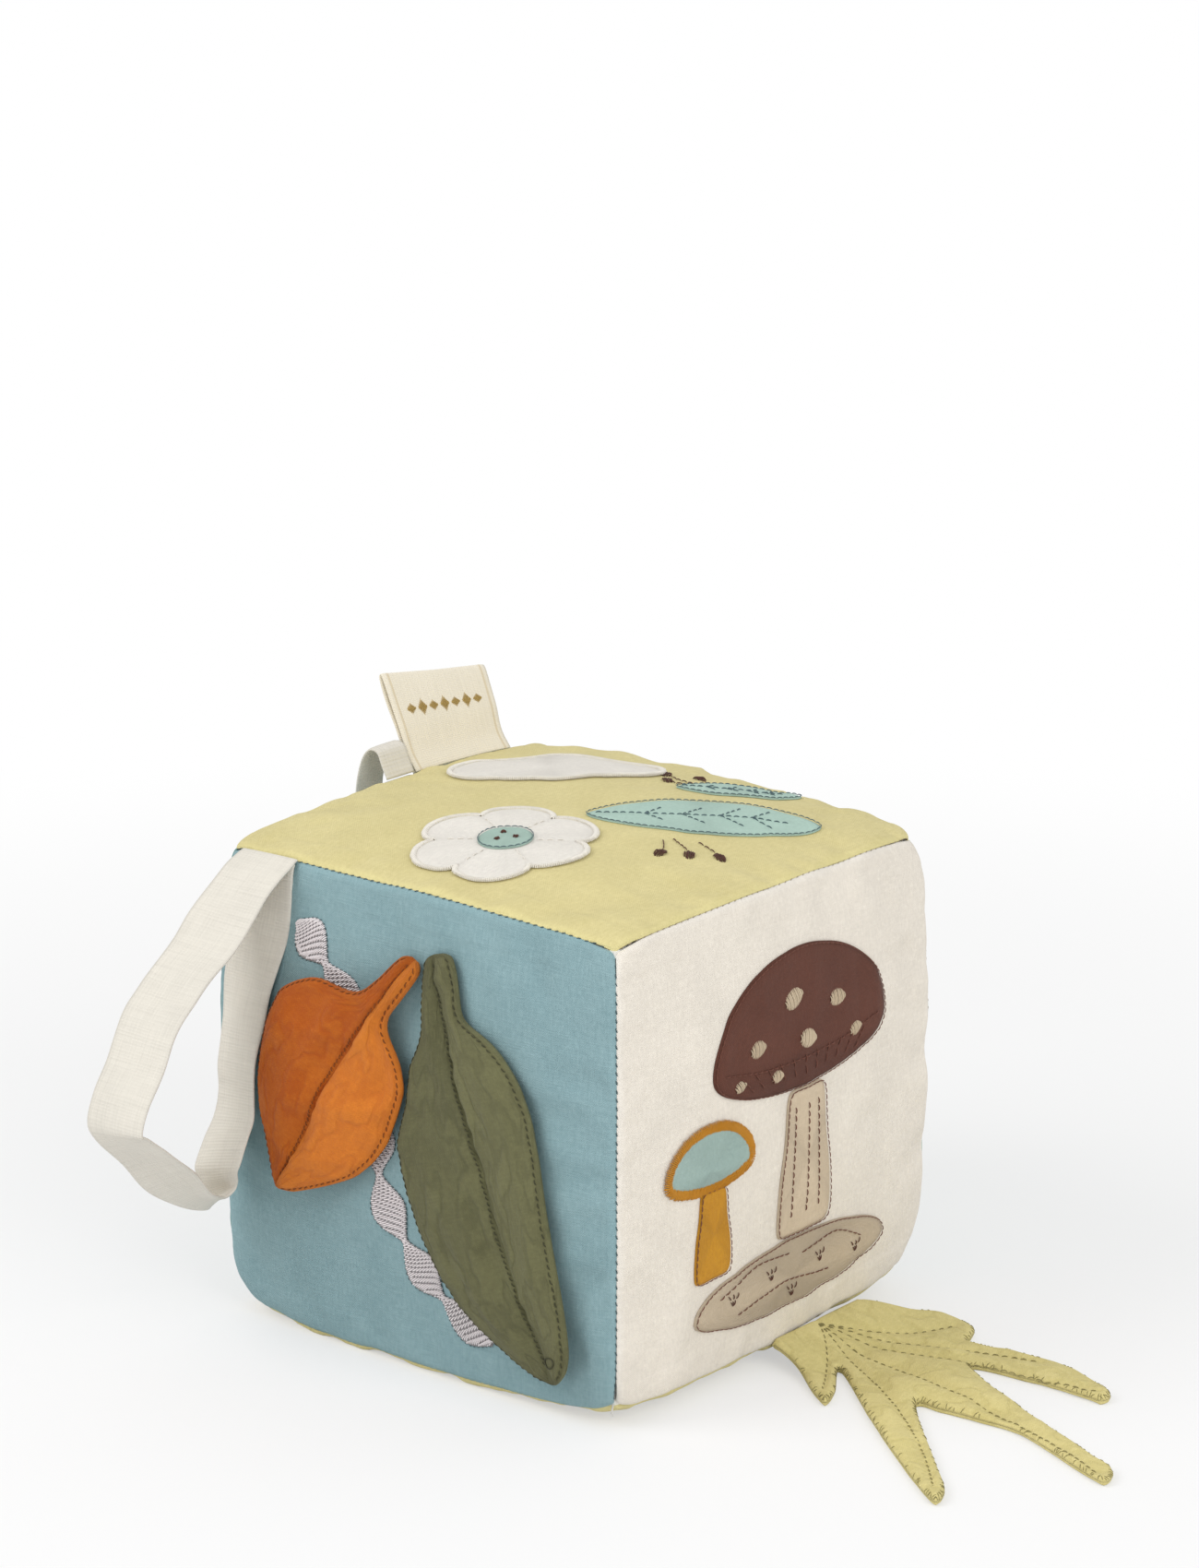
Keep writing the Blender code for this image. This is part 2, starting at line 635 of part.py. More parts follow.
def make_fan(part):
    """Upper cloth, crinkle film and lower cloth of the webbed leaf on the floor."""
    seam = fan_seam()
    start = fan_root_x(seam.y)
    pivot = add_pivot("fan_leaf_pivot", Vector((start, seam.y, seam.z + LEAF_STACK / 2)), part)
    cloth_step = LEAF_CLOTH + CLEARANCE
    layers = (
        ("fan_leaf_lower", FAN_SHARES, 0.0, LEAF_CLOTH, "fan"),
        ("fan_leaf_film", FAN_FILM_SHARES, cloth_step, FILM, "film"),
        ("fan_leaf_upper", FAN_SHARES, cloth_step + FILM + CLEARANCE, LEAF_CLOTH, "fan"),
    )
    for name, shares, low, thick, color_name in layers:
        points = [(x * FAN_LENGTH, y * FAN_HALF_WIDTH) for x, y in shares]
        bm = flat_outline(name, points, thick)
        for share in FAN_BEND_SHARES:
            everything = bm.verts[:] + bm.edges[:] + bm.faces[:]
            bmesh.ops.bisect_plane(
                bm, geom=everything, plane_co=(share * FAN_SLOPE, 0, 0), plane_no=(1, 0, 0)
            )
        for vert in bm.verts:
            fade = 1 - min(max(vert.co.x / FAN_SLOPE, 0.0), 1.0)
            vert.co.z += low + fan_rise(vert.co.x)
            vert.co.y += seam.y
            vert.co.x += start + (fan_root_x(vert.co.y) - start) * fade
        add_object(name, mesh_from(name, bm), part, color_name, pivot)


def curve_through(points, share):
    """A point on the smooth curve through a list of points, at a share of the list."""
    place = share * (len(points) - 1)
    index = min(int(place), len(points) - 2)
    t = place - index
    before = points[max(index - 1, 0)]
    start, end = points[index], points[index + 1]
    after = points[min(index + 2, len(points) - 1)]
    return [
        0.5 * (2 * s + (e - b) * t + (2 * b - 5 * s + 4 * e - f) * t**2
               + (3 * s - b - 3 * e + f) * t**3)
        for b, s, e, f in zip(before, start, end, after)
    ]


def make_tape(name, seam, side, route, size, color_name, part):
    """A tape folded into a loop, both ends in one seam; side is its outward direction.

    The loop turns about its upper end.
    """
    width, thick, reach, drop, lean, rows = size
    along_seam = Vector((1, 0, 0)) if side.y else Vector((0, 1, 0))
    root = TAPE_ROOT_GAP + thick / 2
    apart = (thick + CLEARANCE) / 2 + CLEARANCE / 2
    root_out = root * math.sqrt(0.5)
    spread = apart * math.sqrt(0.5)
    first = (root_out - spread, -root_out - spread, 0.0, 0.0, 0.0)
    last = (root_out + spread, -root_out + spread, 0.0, 0.0, 0.0)
    stations = [first]
    for out_share, drop_share, *rest in route:
        lean_share, swing, dip = rest or (0.0, 0.0, 0.0)
        stations.append((out_share * reach, drop_share * drop, lean_share * lean, swing, dip))
    stations.append(last)
    step = 1 / (4 * rows)

    def station(share):
        out, down, shift, swing, dip = curve_through(stations, share)
        middle = seam + side * out - Vector((0, 0, down)) - along_seam * shift
        across = along_seam * math.sqrt(1 - swing**2 - dip**2)
        return middle, across + side * swing - Vector((0, 0, dip))

    def place(a, b, face):
        share = (1 + a) / 2
        middle, across = station(share)
        ahead = station(min(share + step, 1.0))[0] - station(max(share - step, 0.0))[0]
        normal = ahead.cross(across).normalized()
        return middle + across * b * width / 2 + normal * (0.5 - face) * thick

    pivot = add_pivot(f"{name}_pivot", station(0)[0], part)
    mesh = two_sided_sheet(name, place, rows, STRIP_COLUMNS)
    add_object(name, mesh, part, color_name, pivot)


def make_tapes(part):
    """The ribbon loop in the front seam, and the small loop and the tag in the left seam."""
    front = block_point(LOOP_INSET / HALF.x - 1, -1, 1)
    size = (LOOP_WIDTH, TAPE, LOOP_REACH, LOOP_DROP, LOOP_LEAN, LOOP_ROWS)
    make_tape("ribbon_loop", front, Vector((0, -1, 0)), LOOP_SHARES, size, "tape", part)
    rear = block_point(-1, REAR_LOOP_MIDDLE_Y / HALF.y, 1)
    size = (REAR_LOOP_WIDTH, TAPE, REAR_LOOP_REACH, REAR_LOOP_DROP, 0.0, REAR_LOOP_ROWS)
    make_tape("rear_loop", rear, Vector((-1, 0, 0)), REAR_LOOP_SHARES, size, "tape", part)
    tag = block_point(-1, TAG_MIDDLE_Y / HALF.y, 1)
    size = (TAG_WIDTH, TAG_TAPE, TAG_REACH, TAG_HEIGHT, 0.0, TAG_ROWS)
    make_tape("tag", tag, Vector((-1, 0, 0)), TAG_SHARES, size, "tag", part)


def daisy_outline(angle):
    """Round petals, as a share of the flower's radius."""
    petal = math.sqrt(abs(math.cos(PETAL_COUNT / 2 * angle)))
    return DAISY_NOTCH_SHARE + (1 - DAISY_NOTCH_SHARE) * petal


def disc_outline(_angle):
    """A round disc that sits in the middle of the daisy."""
    return DISC_SHARE


def long_oval(angle, slimness):
    """An oval whose height is a share of its width."""
    return slimness / math.hypot(slimness * math.cos(angle), math.sin(angle))


def cloud_outline(angle):
    """A long cloud with soft bumps."""
    turned = angle - PICTURE_TURN
    oval = long_oval(turned, CLOUD_SLIM_SHARE)
    return oval * (1 - CLOUD_BUMP_SHARE + CLOUD_BUMP_SHARE * math.cos(CLOUD_BUMPS * turned))


def pointed_oval(angle, slimness):
    """A leaf shape with two points."""
    turned = angle - PICTURE_TURN
    return slimness / math.hypot(slimness * math.cos(turned), abs(math.sin(turned)) ** 0.8)


def large_sprig_outline(angle):
    """The larger leaf."""
    return pointed_oval(angle, LARGE_SPRIG_SLIM_SHARE)


def small_sprig_outline(angle):
    """The smaller leaf."""
    return pointed_oval(angle, SMALL_SPRIG_SLIM_SHARE)


def mound_outline(angle):
    """A low hill with a flat foot."""
    foot = MOUND_FOOT_SHARE if angle < 0 else 1.0
    slim = MOUND_SLIM_SHARE
    return slim / math.hypot(slim * math.cos(angle), math.sin(angle) * foot)


def stem_outline(angle):
    """A stout stem, wider at its foot."""
    wide = STEM_SLIM_SHARE - STEM_TAPER_SHARE * math.sin(angle)
    return 1 / max(abs(math.cos(angle)) / wide, abs(math.sin(angle)) / STEM_END_SHARE)


def cap_outline(angle):
    """A domed cap with a nearly flat lower edge."""
    return long_oval(angle, CAP_BRIM_SHARE if angle < 0 else CAP_DOME_SHARE)


def make_patch(name, shares, outline, face, color_name, part, layer=0, cells=8):
    """A flat cloth shape sewn on a panel; its outline is a radius that goes with the angle."""
    centre_a, centre_b, size_share = shares
    size = size_share * HALF.z
    half_a = HALF.y if face == "right" else HALF.x
    half_b = HALF.y if face == "top" else HALF.z
    low = CLEARANCE + layer * (PATCH_CLOTH + CLEARANCE)

    def place(a, b, side):
        spread = max(abs(a), abs(b))
        angle = math.atan2(b, a)
        reach = size * outline(angle) * spread
        unit_a = centre_a + reach * math.cos(angle) / half_a
        unit_b = centre_b + reach * math.sin(angle) / half_b
        return surface_point(face, unit_a, unit_b, low + PATCH_CLOTH * (1 - side))

    add_object(name, two_sided_sheet(name, place, cells, cells), part, color_name)


def make_pictures(part):
    """Appliqué shapes on the top and right panels."""
    make_patch("top_daisy", DAISY_SHARES, daisy_outline, "top", "white", part, cells=12)
    make_patch("top_daisy_middle", DAISY_SHARES, disc_outline, "top", "mint", part, 1, 6)
    make_patch("top_cloud", CLOUD_SHARES, cloud_outline, "top", "white", part, cells=10)
    make_patch("top_leaf_large", LARGE_SPRIG_SHARES, large_sprig_outline, "top", "mint", part)
    make_patch("top_leaf_small", SMALL_SPRIG_SHARES, small_sprig_outline, "top", "mint", part)
    make_patch("right_mound", MOUND_SHARES, mound_outline, "right", "beige", part)
    make_patch("right_stem", STEM_SHARES, stem_outline, "right", "white", part)
    make_patch("right_cap", CAP_SHARES, cap_outline, "right", "brown", part, cells=10)
    make_patch("right_small_stem", SMALL_STEM_SHARES, stem_outline, "right", "mustard", part)
    make_patch("right_small_cap", SMALL_CAP_SHARES, cap_outline, "right", "haze", part)


def make_vine(part):
    """A satin-stitched vine on the front panel, in one run of thread."""

    def place(a, b, side):
        share = (1 + a) / 2
        a_unit, b_unit = curve_through(VINE_SHARES, share)
        ahead = curve_through(VINE_SHARES, min(share + VINE_STEP, 1.0))
        behind = curve_through(VINE_SHARES, max(share - VINE_STEP, 0.0))
        run = Vector(((ahead[0] - behind[0]) * HALF.x, (ahead[1] - behind[1]) * HALF.z))
        run.normalize()
        swell = abs(math.sin(math.pi * share * VINE_LEAVES)) ** 1.5
        wide = (VINE_WIDTH / 2 + VINE_LEAF * swell) * b
        a_unit += -run.y * wide / HALF.x
        b_unit += run.x * wide / HALF.z
        height = CLEARANCE + THREAD_HEIGHT * (1 - side)
        return surface_point("front", a_unit, b_unit, height)

    mesh = two_sided_sheet("front_vine", place, VINE_ROWS, STRIP_COLUMNS)
    add_object("front_vine", mesh, part, "lilac")


def main():
    """Build the whole block."""
    clear_scene()
    part, cutters = make_collections()
    make_panels(part)
    make_foam(part, cutters)
    make_capsule(part)
    make_beads(part)
    make_pictures(part)
    make_vine(part)
    make_leaves(part)
    make_fan(part)
    make_tapes(part)


main()
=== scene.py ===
"""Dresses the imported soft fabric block: padded cover, stitching, embroidery, leaves and tapes."""

import math
from itertools import product

import bmesh
import bpy
import numpy as np
from bpy.props import FloatProperty, FloatVectorProperty, PointerProperty
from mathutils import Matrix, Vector
from mathutils.geometry import delaunay_2d_cdt


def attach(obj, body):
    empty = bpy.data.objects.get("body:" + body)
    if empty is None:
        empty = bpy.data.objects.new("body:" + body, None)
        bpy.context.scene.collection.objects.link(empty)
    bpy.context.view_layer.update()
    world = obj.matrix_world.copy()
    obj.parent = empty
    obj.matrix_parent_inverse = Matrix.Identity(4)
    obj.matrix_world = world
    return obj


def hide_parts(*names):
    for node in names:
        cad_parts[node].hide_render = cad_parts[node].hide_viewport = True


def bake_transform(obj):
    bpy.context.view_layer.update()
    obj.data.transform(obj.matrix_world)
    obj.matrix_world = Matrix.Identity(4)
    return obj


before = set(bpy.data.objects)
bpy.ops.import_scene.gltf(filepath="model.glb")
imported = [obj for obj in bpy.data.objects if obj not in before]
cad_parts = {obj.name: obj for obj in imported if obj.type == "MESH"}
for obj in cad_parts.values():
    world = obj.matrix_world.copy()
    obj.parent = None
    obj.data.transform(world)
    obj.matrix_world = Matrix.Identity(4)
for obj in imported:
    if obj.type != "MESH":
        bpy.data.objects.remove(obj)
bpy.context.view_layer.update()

bl_info = {
    "name": "Soft fabric block",
    "version": (1, 0, 0),
    "blender": (4, 5, 0),
    "location": "View3D > Sidebar > Fabric block",
    "description": "Builds the cover, leaves, tapes and stitching of a soft fabric block",
    "category": "Object",
}

# Block: the same measures as the part, in metres
HALF = np.array((0.06885, 0.06495, 0.0650))
CROWNS = {"side": 0.0040, "top": 0.0065, "base": 0.0110}
SEAM_BOW = 0.0018
SEAM_HEIGHTS = {"front": (0.0020, 0.0042), "back": (0.0065, 0.0100)}
TOP_SEAM = SEAM_HEIGHTS["front"][1] + 2 * HALF[2]
CORNER_PULLS = {"top": 0.0012, "near": 0.0010, "base": 0.0026}
CLEARANCE = 0.0003
PATCH_CLOTH = 0.0006

# Panel: the axis that it faces along, its direction there, and the axes of a and b
PANELS = {
    "front": (1, -1, 0, 2),
    "back": (1, 1, 0, 2),
    "left": (0, -1, 1, 2),
    "right": (0, 1, 1, 2),
    "top": (2, 1, 0, 1),
    "bottom": (2, -1, 0, 1),
}
PANEL_CELLS = 130
EDGE_EASE = 0.55
CORNER_DRAW = 0.0020
COVER_RISE = 0.0009
COVER_SINK = 0.0008
COVER_CLOTH = 0.0006

# Air in the cover
SIM_CELLS = 24
SIM_FRAMES = 20
SIM_RISE = 0.0004
SIM_SINK = 0.0014

# Leaves: thickness of both cloths, and how far an inner face lies from their middle
LEAF_STACK = 0.0026
INNER_FACE = 0.00022
ORANGE = {
    "name": "orange_leaf",
    "length": 0.0858,
    "half_width": 0.0300,
    "root": (0.0064, TOP_SEAM - 0.0165),
    "hang": (-0.541, -0.841),
    "proud": 0.0112,
    "root_proud": 0.0058,
    "droops": (0.0007, 0.0048),
    "stations": (
        (0.00, -0.140, -0.047, 0.047), (0.03, -0.177, -0.050, 0.080),
        (0.12, -0.207, -0.047, 0.087), (0.20, -0.267, -0.047, 0.077),
        (0.245, -0.400, -0.050, 0.150), (0.285, -0.717, -0.053, 0.390),
        (0.36, -0.883, -0.063, 0.560), (0.44, -1.000, -0.080, 0.612),
        (0.57, -0.957, -0.093, 0.670), (0.66, -0.867, -0.067, 0.650),
        (0.75, -0.740, -0.033, 0.580), (0.83, -0.567, -0.027, 0.440),
        (0.90, -0.350, -0.027, 0.300), (0.96, -0.173, -0.027, 0.167),
        (1.00, -0.087, -0.027, 0.073),
    ),
}
GREEN = {
    "name": "green_leaf",
    "length": 0.1170,
    "half_width": 0.0360,
    "root": (0.0154, TOP_SEAM - 0.0115),
    "hang": (0.350, -0.937),
    "proud": 0.0078,
    "root_proud": 0.0052,
    "droops": (0.0007, 0.0007),
    "stations": (
        (0.00, -0.222, -0.119, 0.033), (0.03, -0.248, -0.122, 0.061),
        (0.10, -0.333, -0.128, 0.042), (0.16, -0.390, -0.136, 0.014),
        (0.20, -0.486, -0.139, 0.194), (0.24, -0.622, -0.142, 0.300),
        (0.27, -0.660, -0.142, 0.345), (0.31, -0.730, -0.142, 0.403),
        (0.35, -0.830, -0.142, 0.420), (0.40, -0.958, -0.142, 0.433),
        (0.50, -1.000, -0.147, 0.392), (0.60, -0.986, -0.164, 0.328),
        (0.70, -0.917, -0.161, 0.283), (0.80, -0.772, -0.128, 0.242),
        (0.88, -0.556, -0.089, 0.203), (0.94, -0.347, -0.067, 0.156),
        (0.975, -0.222, -0.056, 0.094), (1.00, -0.117, -0.044, 0.017),
    ),
}

# Webbed leaf: outline, tips and forks in shares of its reach and spread, and each stitched
# vein's middle and end
FAN_REACH = 0.1150
FAN_SPREAD = 0.0640
FAN_MIDDLE_Y = 0.0170
FAN_SLOPE = 0.0200
FAN_SHARES = (
    (0.000, -0.310), (0.097, -0.350), (0.200, -0.470), (0.247, -0.510), (0.227, -0.400),
    (0.156, -0.200), (0.360, -0.490), (0.527, -0.720), (0.746, -1.000), (0.778, -0.990),
    (0.743, -0.880), (0.636, -0.690), (0.420, -0.300), (0.470, -0.260), (0.572, -0.245),
    (0.695, -0.245), (0.928, -0.400), (1.000, -0.430), (0.975, -0.315), (0.870, -0.235),
    (0.613, -0.045), (0.375, 0.180), (0.537, 0.235), (0.674, 0.238), (0.726, 0.240),
    (0.710, 0.330), (0.540, 0.436), (0.420, 0.425), (0.290, 0.385), (0.270, 0.445),
    (0.238, 0.530), (0.143, 0.560), (0.085, 0.440), (0.000, 0.316),
)
FAN_START = (0.0012, -0.0010)
FAN_VEINS = (
    ((0.0120, -0.0080), (0.0235, -0.0280)),
    ((0.0480, -0.0180), (0.0850, -0.0605)),
    ((0.0640, -0.0060), (0.1110, -0.0255)),
    ((0.0430, 0.0130), (0.0810, 0.0175)),
    ((0.0330, 0.0200), (0.0560, 0.0250)),
    ((0.0160, 0.0100), (0.0235, 0.0310)),
)
FAN_TIPS = ((0.247, -0.505), (0.762, -0.995), (0.985, -0.415), (0.720, 0.285), (0.240, 0.530))
FAN_FORKS = ((0.156, -0.200), (0.420, -0.300), (0.375, 0.180), (0.290, 0.385))

# Tapes: stations as in the part, in shares of reach, drop and lean, then swing and dip
LOOP_SHARES = (
    (0.056, 0.010, 0.00, 0.00, 0.00), (0.139, 0.041, 0.04, 0.00, 0.00),
    (0.218, 0.086, 0.18, 0.00, 0.00), (0.328, 0.173, 0.40, 0.00, 0.00),
    (0.431, 0.250, 0.58, 0.00, 0.00), (0.606, 0.332, 0.72, 0.00, 0.00),
    (0.745, 0.408, 0.79, 0.00, 0.00), (0.839, 0.506, 0.81, 0.00, 0.00),
    (0.950, 0.592, 0.78, 0.02, 0.00), (1.000, 0.662, 0.76, 0.05, -0.05),
    (0.957, 0.699, 0.73, 0.08, -0.25), (0.792, 0.782, 0.77, 0.07, -0.37),
    (0.622, 0.873, 0.80, 0.05, -0.42), (0.436, 0.954, 0.87, 0.22, -0.49),
    (0.280, 0.998, 0.98, 0.40, -0.52), (0.237, 0.985, 0.90, 0.38, -0.50),
    (0.252, 0.955, 0.82, 0.30, -0.45), (0.300, 0.910, 0.72, 0.20, -0.36),
    (0.312, 0.870, 0.68, 0.10, -0.28), (0.250, 0.805, 0.70, 0.14, -0.26),
    (0.190, 0.755, 0.72, 0.22, -0.22), (0.160, 0.688, 0.73, 0.30, -0.20),
    (0.152, 0.620, 0.73, 0.30, -0.19), (0.132, 0.555, 0.73, 0.28, -0.18),
    (0.095, 0.430, 0.66, 0.20, -0.10), (0.078, 0.310, 0.40, 0.10, -0.03),
    (0.050, 0.130, 0.10, 0.00, 0.00),
)
REAR_LOOP_SHARES = (
    (0.16, -0.12), (0.30, -0.22), (0.58, -0.22), (0.82, -0.10), (0.97, 0.15), (1.00, 0.50),
    (0.92, 0.84), (0.72, 1.00), (0.46, 0.92), (0.33, 0.66), (0.24, 0.36), (0.20, 0.15),
)
TAG_SHARES = (
    (0.29, -0.20, 0.00, -0.02, 0.02), (0.50, -0.50, 0.00, -0.06, 0.06),
    (0.76, -0.80, 0.00, -0.10, 0.10), (0.93, -0.97, 0.00, -0.12, 0.12),
    (1.00, -1.00, 0.00, -0.12, 0.12), (1.02, -0.93, 0.00, -0.12, 0.12),
    (0.86, -0.68, 0.00, -0.09, 0.09), (0.62, -0.40, 0.00, -0.05, 0.05),
    (0.37, -0.13, 0.00, -0.01, 0.01),
)
RIBBON = {
    "name": "ribbon_loop", "unit": (-0.0515 / HALF[0], -1, 1), "side": (0, -1, 0),
    "width": 0.0210, "thick": 0.0010, "reach": 0.0539, "drop": 0.0977, "lean": 0.0088,
    "shares": LOOP_SHARES,
}
REAR_LOOP = {
    "name": "rear_loop", "unit": (-1, 0.0077 / HALF[1], 1), "side": (-1, 0, 0),
    "width": 0.0110, "thick": 0.0010, "reach": 0.0120, "drop": 0.0340, "lean": 0.0,
    "shares": REAR_LOOP_SHARES,
}
TAG = {
    "name": "tag", "unit": (-1, 0.0334 / HALF[1], 1), "side": (-1, 0, 0),
    "width": 0.0385, "thick": 0.0006, "reach": 0.0110, "drop": 0.0235, "lean": 0.0,
    "shares": TAG_SHARES,
}

# Pictures: centre as shares of the half panel, size as a share of the half height, and
# how far the cloud and the leaves are turned
PICTURE_TURN = math.radians(40)
DAISY = (0.05, -0.50, 0.38)
CLOUD = (-0.46, 0.40, 0.48)
LARGE_SPRIG = (0.44, 0.26, 0.48)
SMALL_SPRIG = (0.28, 0.70, 0.26)
MOUND = (0.05, -0.72, 0.62)
STEM = (0.10, -0.20, 0.36)
CAP = (0.08, 0.30, 0.56)
SMALL_STEM = (-0.48, -0.35, 0.22)
SMALL_CAP = (-0.50, -0.07, 0.24)
VINE_SHARES = (
    (0.42, -0.80), (0.18, -0.66), (0.00, -0.46), (-0.12, -0.20), (-0.14, 0.10),
    (-0.22, 0.38), (-0.40, 0.62), (-0.56, 0.76),
)
VINE_WIDTH = 0.0022
VINE_LEAF = 0.0052
VINE_LEAVES = 7

# Offsets from a tape's seam, given as its bend: a tape with one is left unattached, and the offset
# itself is not read
RIBBON_BEND = (0, -0.0032, -0.0032)
TAG_BEND = (0, 0, 0.0045)

# Threads: their thickness, and the repeat of plies, ribs and weave
OUTLINE_THREAD = 0.00030
LINE_THREAD = 0.00032
VINE_EDGE_THREAD = 0.00026
DIAMOND_THREAD = 0.00034
LOOSE_THREAD = 0.0005
LOOSE_THREAD_COLOUR = (0.72, 0.70, 0.66)
PLY_PITCH = 0.0007
RIB_PITCH = 0.00085
WEAVE_PITCH = 0.00062

LAMP_TARGET = (0.0, 0.0, 0.07)

# Camera: the photograph's viewing angle
CAMERA_AZIMUTH = math.radians(40.139)
CAMERA_ELEVATION = math.radians(16.892)
CAMERA_TARGET = Vector((0.00845, 0.0, 0.1507))
CAMERA_DISTANCE = 1.56
CAMERA_LENS = 133.5
CAMERA_SENSOR = 36.0


def linear(code):
    """A colour written as six hexadecimal digits, in Blender's linear values."""
    parts = [int(code[place:place + 2], 16) / 255 for place in (0, 2, 4)]
    return tuple(p / 12.92 if p <= 0.04045 else ((p + 0.055) / 1.055) ** 2.4 for p in parts)


def tint(name, code):
    """A colour property of the block."""
    return FloatVectorProperty(
        name=name, description=f"Colour of the {name.lower()}", subtype="COLOR",
        size=3, min=0, max=1, default=linear(code),
    )


def length(name, description, default):
    """A length property of the block."""
    return FloatProperty(
        name=name, description=description, default=default, min=0, unit="LENGTH", precision=5
    )


def power(name, description, default):
    """A lamp's power as a property."""
    return FloatProperty(
        name=name, description=description, default=default, min=0, unit="POWER"
    )


class FabricBlockSettings(bpy.types.PropertyGroup):
    """Colours and sewing sizes of the fabric block."""

    blue: tint("Blue cotton", "88A9AE")
    teal: tint("Teal cotton", "6F9590")
    cream: tint("Cream cotton", "F1E9DB")
    straw: tint("Straw cotton", "DFD293")
    mint: tint("Mint cotton", "B5D3C5")
    white: tint("White cotton", "F1ECE2")
    orange: tint("Orange cotton", "CE7124")
    # Painted shade: the orange leaf's left half, darker because that half turns away from the light
    orange_shaded_half: tint("Painted shade orange cotton", "B8560F")
    green: tint("Green cotton", "6B6A49")
    webbed: tint("Webbed leaf cotton", "E2D48C")
    brown: tint("Brown cotton", "603A2E")
    beige: tint("Beige cotton", "C9B79C")
    mustard: tint("Mustard cotton", "C98A26")
    haze: tint("Pale blue cotton", "9FB8B0")
    tape: tint("Cotton tape", "DCD7CC")
    label: tint("Woven label", "EEE6D4")
    satin: tint("Satin thread", "E9E2E3")
    slate: tint("Slate thread", "4F6468")
    gold: tint("Gold thread", "BCA061")
    stitch: length("Stitch length", "Length of one stitch of a sewn line", 0.0019)
    stitch_gap: length("Stitch gap", "Cloth that shows between two stitches", 0.0007)
    thread: length("Thread thickness", "Thickness of the sewing thread", 0.00030)
    satin_pitch: length("Satin pitch", "Distance between two strands of satin stitch", 0.00048)
    seam_depth: length("Seam depth", "How far a seam sinks between two panels", 0.0008)
    pucker: length("Pucker height", "Height of the small folds beside the seams", 0.0005)
    wander: length("Seam wander", "How far a seam strays from its line", 0.0004)


class FabricStageSettings(bpy.types.PropertyGroup):
    """Lights and floor round the fabric block."""

    key_power: power("Key power", "Power of the large soft lamp", 8.0)
    fill_power: power("Fill power", "Power of the second soft lamp", 7.6)
    sky: FloatProperty(
        name="Sky strength", description="Strength of the even light from all round",
        default=0.70, min=0,
    )
    floor: FloatVectorProperty(
        name="Floor", description="Colour of the floor", subtype="COLOR", size=3, min=0,
        max=1, default=(0.86, 0.86, 0.86),
    )


class Grain:
    """Repeatable smooth noise from -1 to 1, over one to three coordinates in cells."""

    SIZE = 4096
    MIXERS = (73856093, 19349663, 83492791)

    def __init__(self, seed):
        self.values = np.random.default_rng(seed).uniform(-1, 1, self.SIZE)

    def __call__(self, *axes):
        places = np.stack(np.broadcast_arrays(*axes), -1)
        cells = np.floor(places).astype(np.int64)
        part = places - cells
        part = part * part * (3 - 2 * part)
        total = np.zeros(places.shape[:-1])
        for corner in product((0, 1), repeat=places.shape[-1]):
            key = np.zeros(places.shape[:-1], np.int64)
            weight = np.ones(places.shape[:-1])
            for axis, step in enumerate(corner):
                key ^= (cells[..., axis] + step) * self.MIXERS[axis]
                weight *= part[..., axis] if step else 1 - part[..., axis]
            total += weight * self.values[key % self.SIZE]
        return total


def bell(distance, width):
    """A smooth hump of height 1 that fades with the distance."""
    return np.exp(-((distance / width) ** 2))


def clamped(values):
    """Values kept from 0 to 1."""
    return np.clip(values, 0, 1)


def eased(values):
    """Grid coordinates from -1 to 1, drawn closer together towards both ends."""
    return (1 - EDGE_EASE) * values + EDGE_EASE * np.sin(values * math.pi / 2)


def block_points(units, inset=0.0):
    """Places in the stuffed block of points of the unit cube, as the part makes them."""
    u, v, w = units.T
    front, back = SEAM_HEIGHTS["front"], SEAM_HEIGHTS["back"]
    right = (1 + u) / 2
    near = front[0] + (front[1] - front[0]) * right
    far = back[0] + (back[1] - back[0]) * right
    seam = near + (far - near) * (1 + v) / 2
    pull = np.where(
        w > 0, CORNER_PULLS["top"],
        np.where((u > 0) & (v < 0), CORNER_PULLS["near"], CORNER_PULLS["base"]),
    )
    pull = pull * np.abs(u * v * w) ** 7
    upright = np.where(w > 0, CROWNS["top"], CROWNS["base"])
    crowns = (CROWNS["side"], CROWNS["side"], upright)
    places = np.empty_like(units, dtype=float)
    for axis in range(3):
        own, first, second = units[:, axis], units[:, axis - 2], units[:, axis - 1]
        crown = (1 - np.abs(first) ** 3) * (1 - np.abs(second) ** 3)
        swell = crowns[axis] * crown + SEAM_BOW * (1 - (first * second) ** 2) - pull
        places[:, axis] = own * (HALF[axis] - inset) + np.sign(own) * own**4 * swell
    places[:, 2] += seam + (TOP_SEAM - 2 * HALF[2] - seam) * (1 + w) / 2 + HALF[2]
    places[:, 2] = np.maximum(places[:, 2], inset)
    return places


def panel_units(face, a, b):
    """Points of the unit cube for places on a panel."""
    axis, sign, along, up = PANELS[face]
    units = np.empty((len(a), 3))
    units[:, axis] = sign
    units[:, along] = a
    units[:, up] = b
    return units


def cubic_sample(grid, a, b):
    """Values of a square grid of vectors, read smoothly at places from -1 to 1."""
    cells = len(grid) - 1
    total = 0.0
    picks = []
    for values in (a, b):
        place = (values + 1) / 2 * cells
        first = np.clip(np.floor(place).astype(int), 0, cells - 1)
        t = place - first
        weights = (
            (-t + 2 * t**2 - t**3) / 2, (2 - 5 * t**2 + 3 * t**3) / 2,
            (t + 4 * t**2 - 3 * t**3) / 2, (t**3 - t**2) / 2,
        )
        picks.append([(np.clip(first + k - 1, 0, cells), w) for k, w in enumerate(weights)])
    for i, weight_a in picks[0]:
        for j, weight_b in picks[1]:
            total = total + (weight_a * weight_b)[:, None] * grid[i, j]
    return total


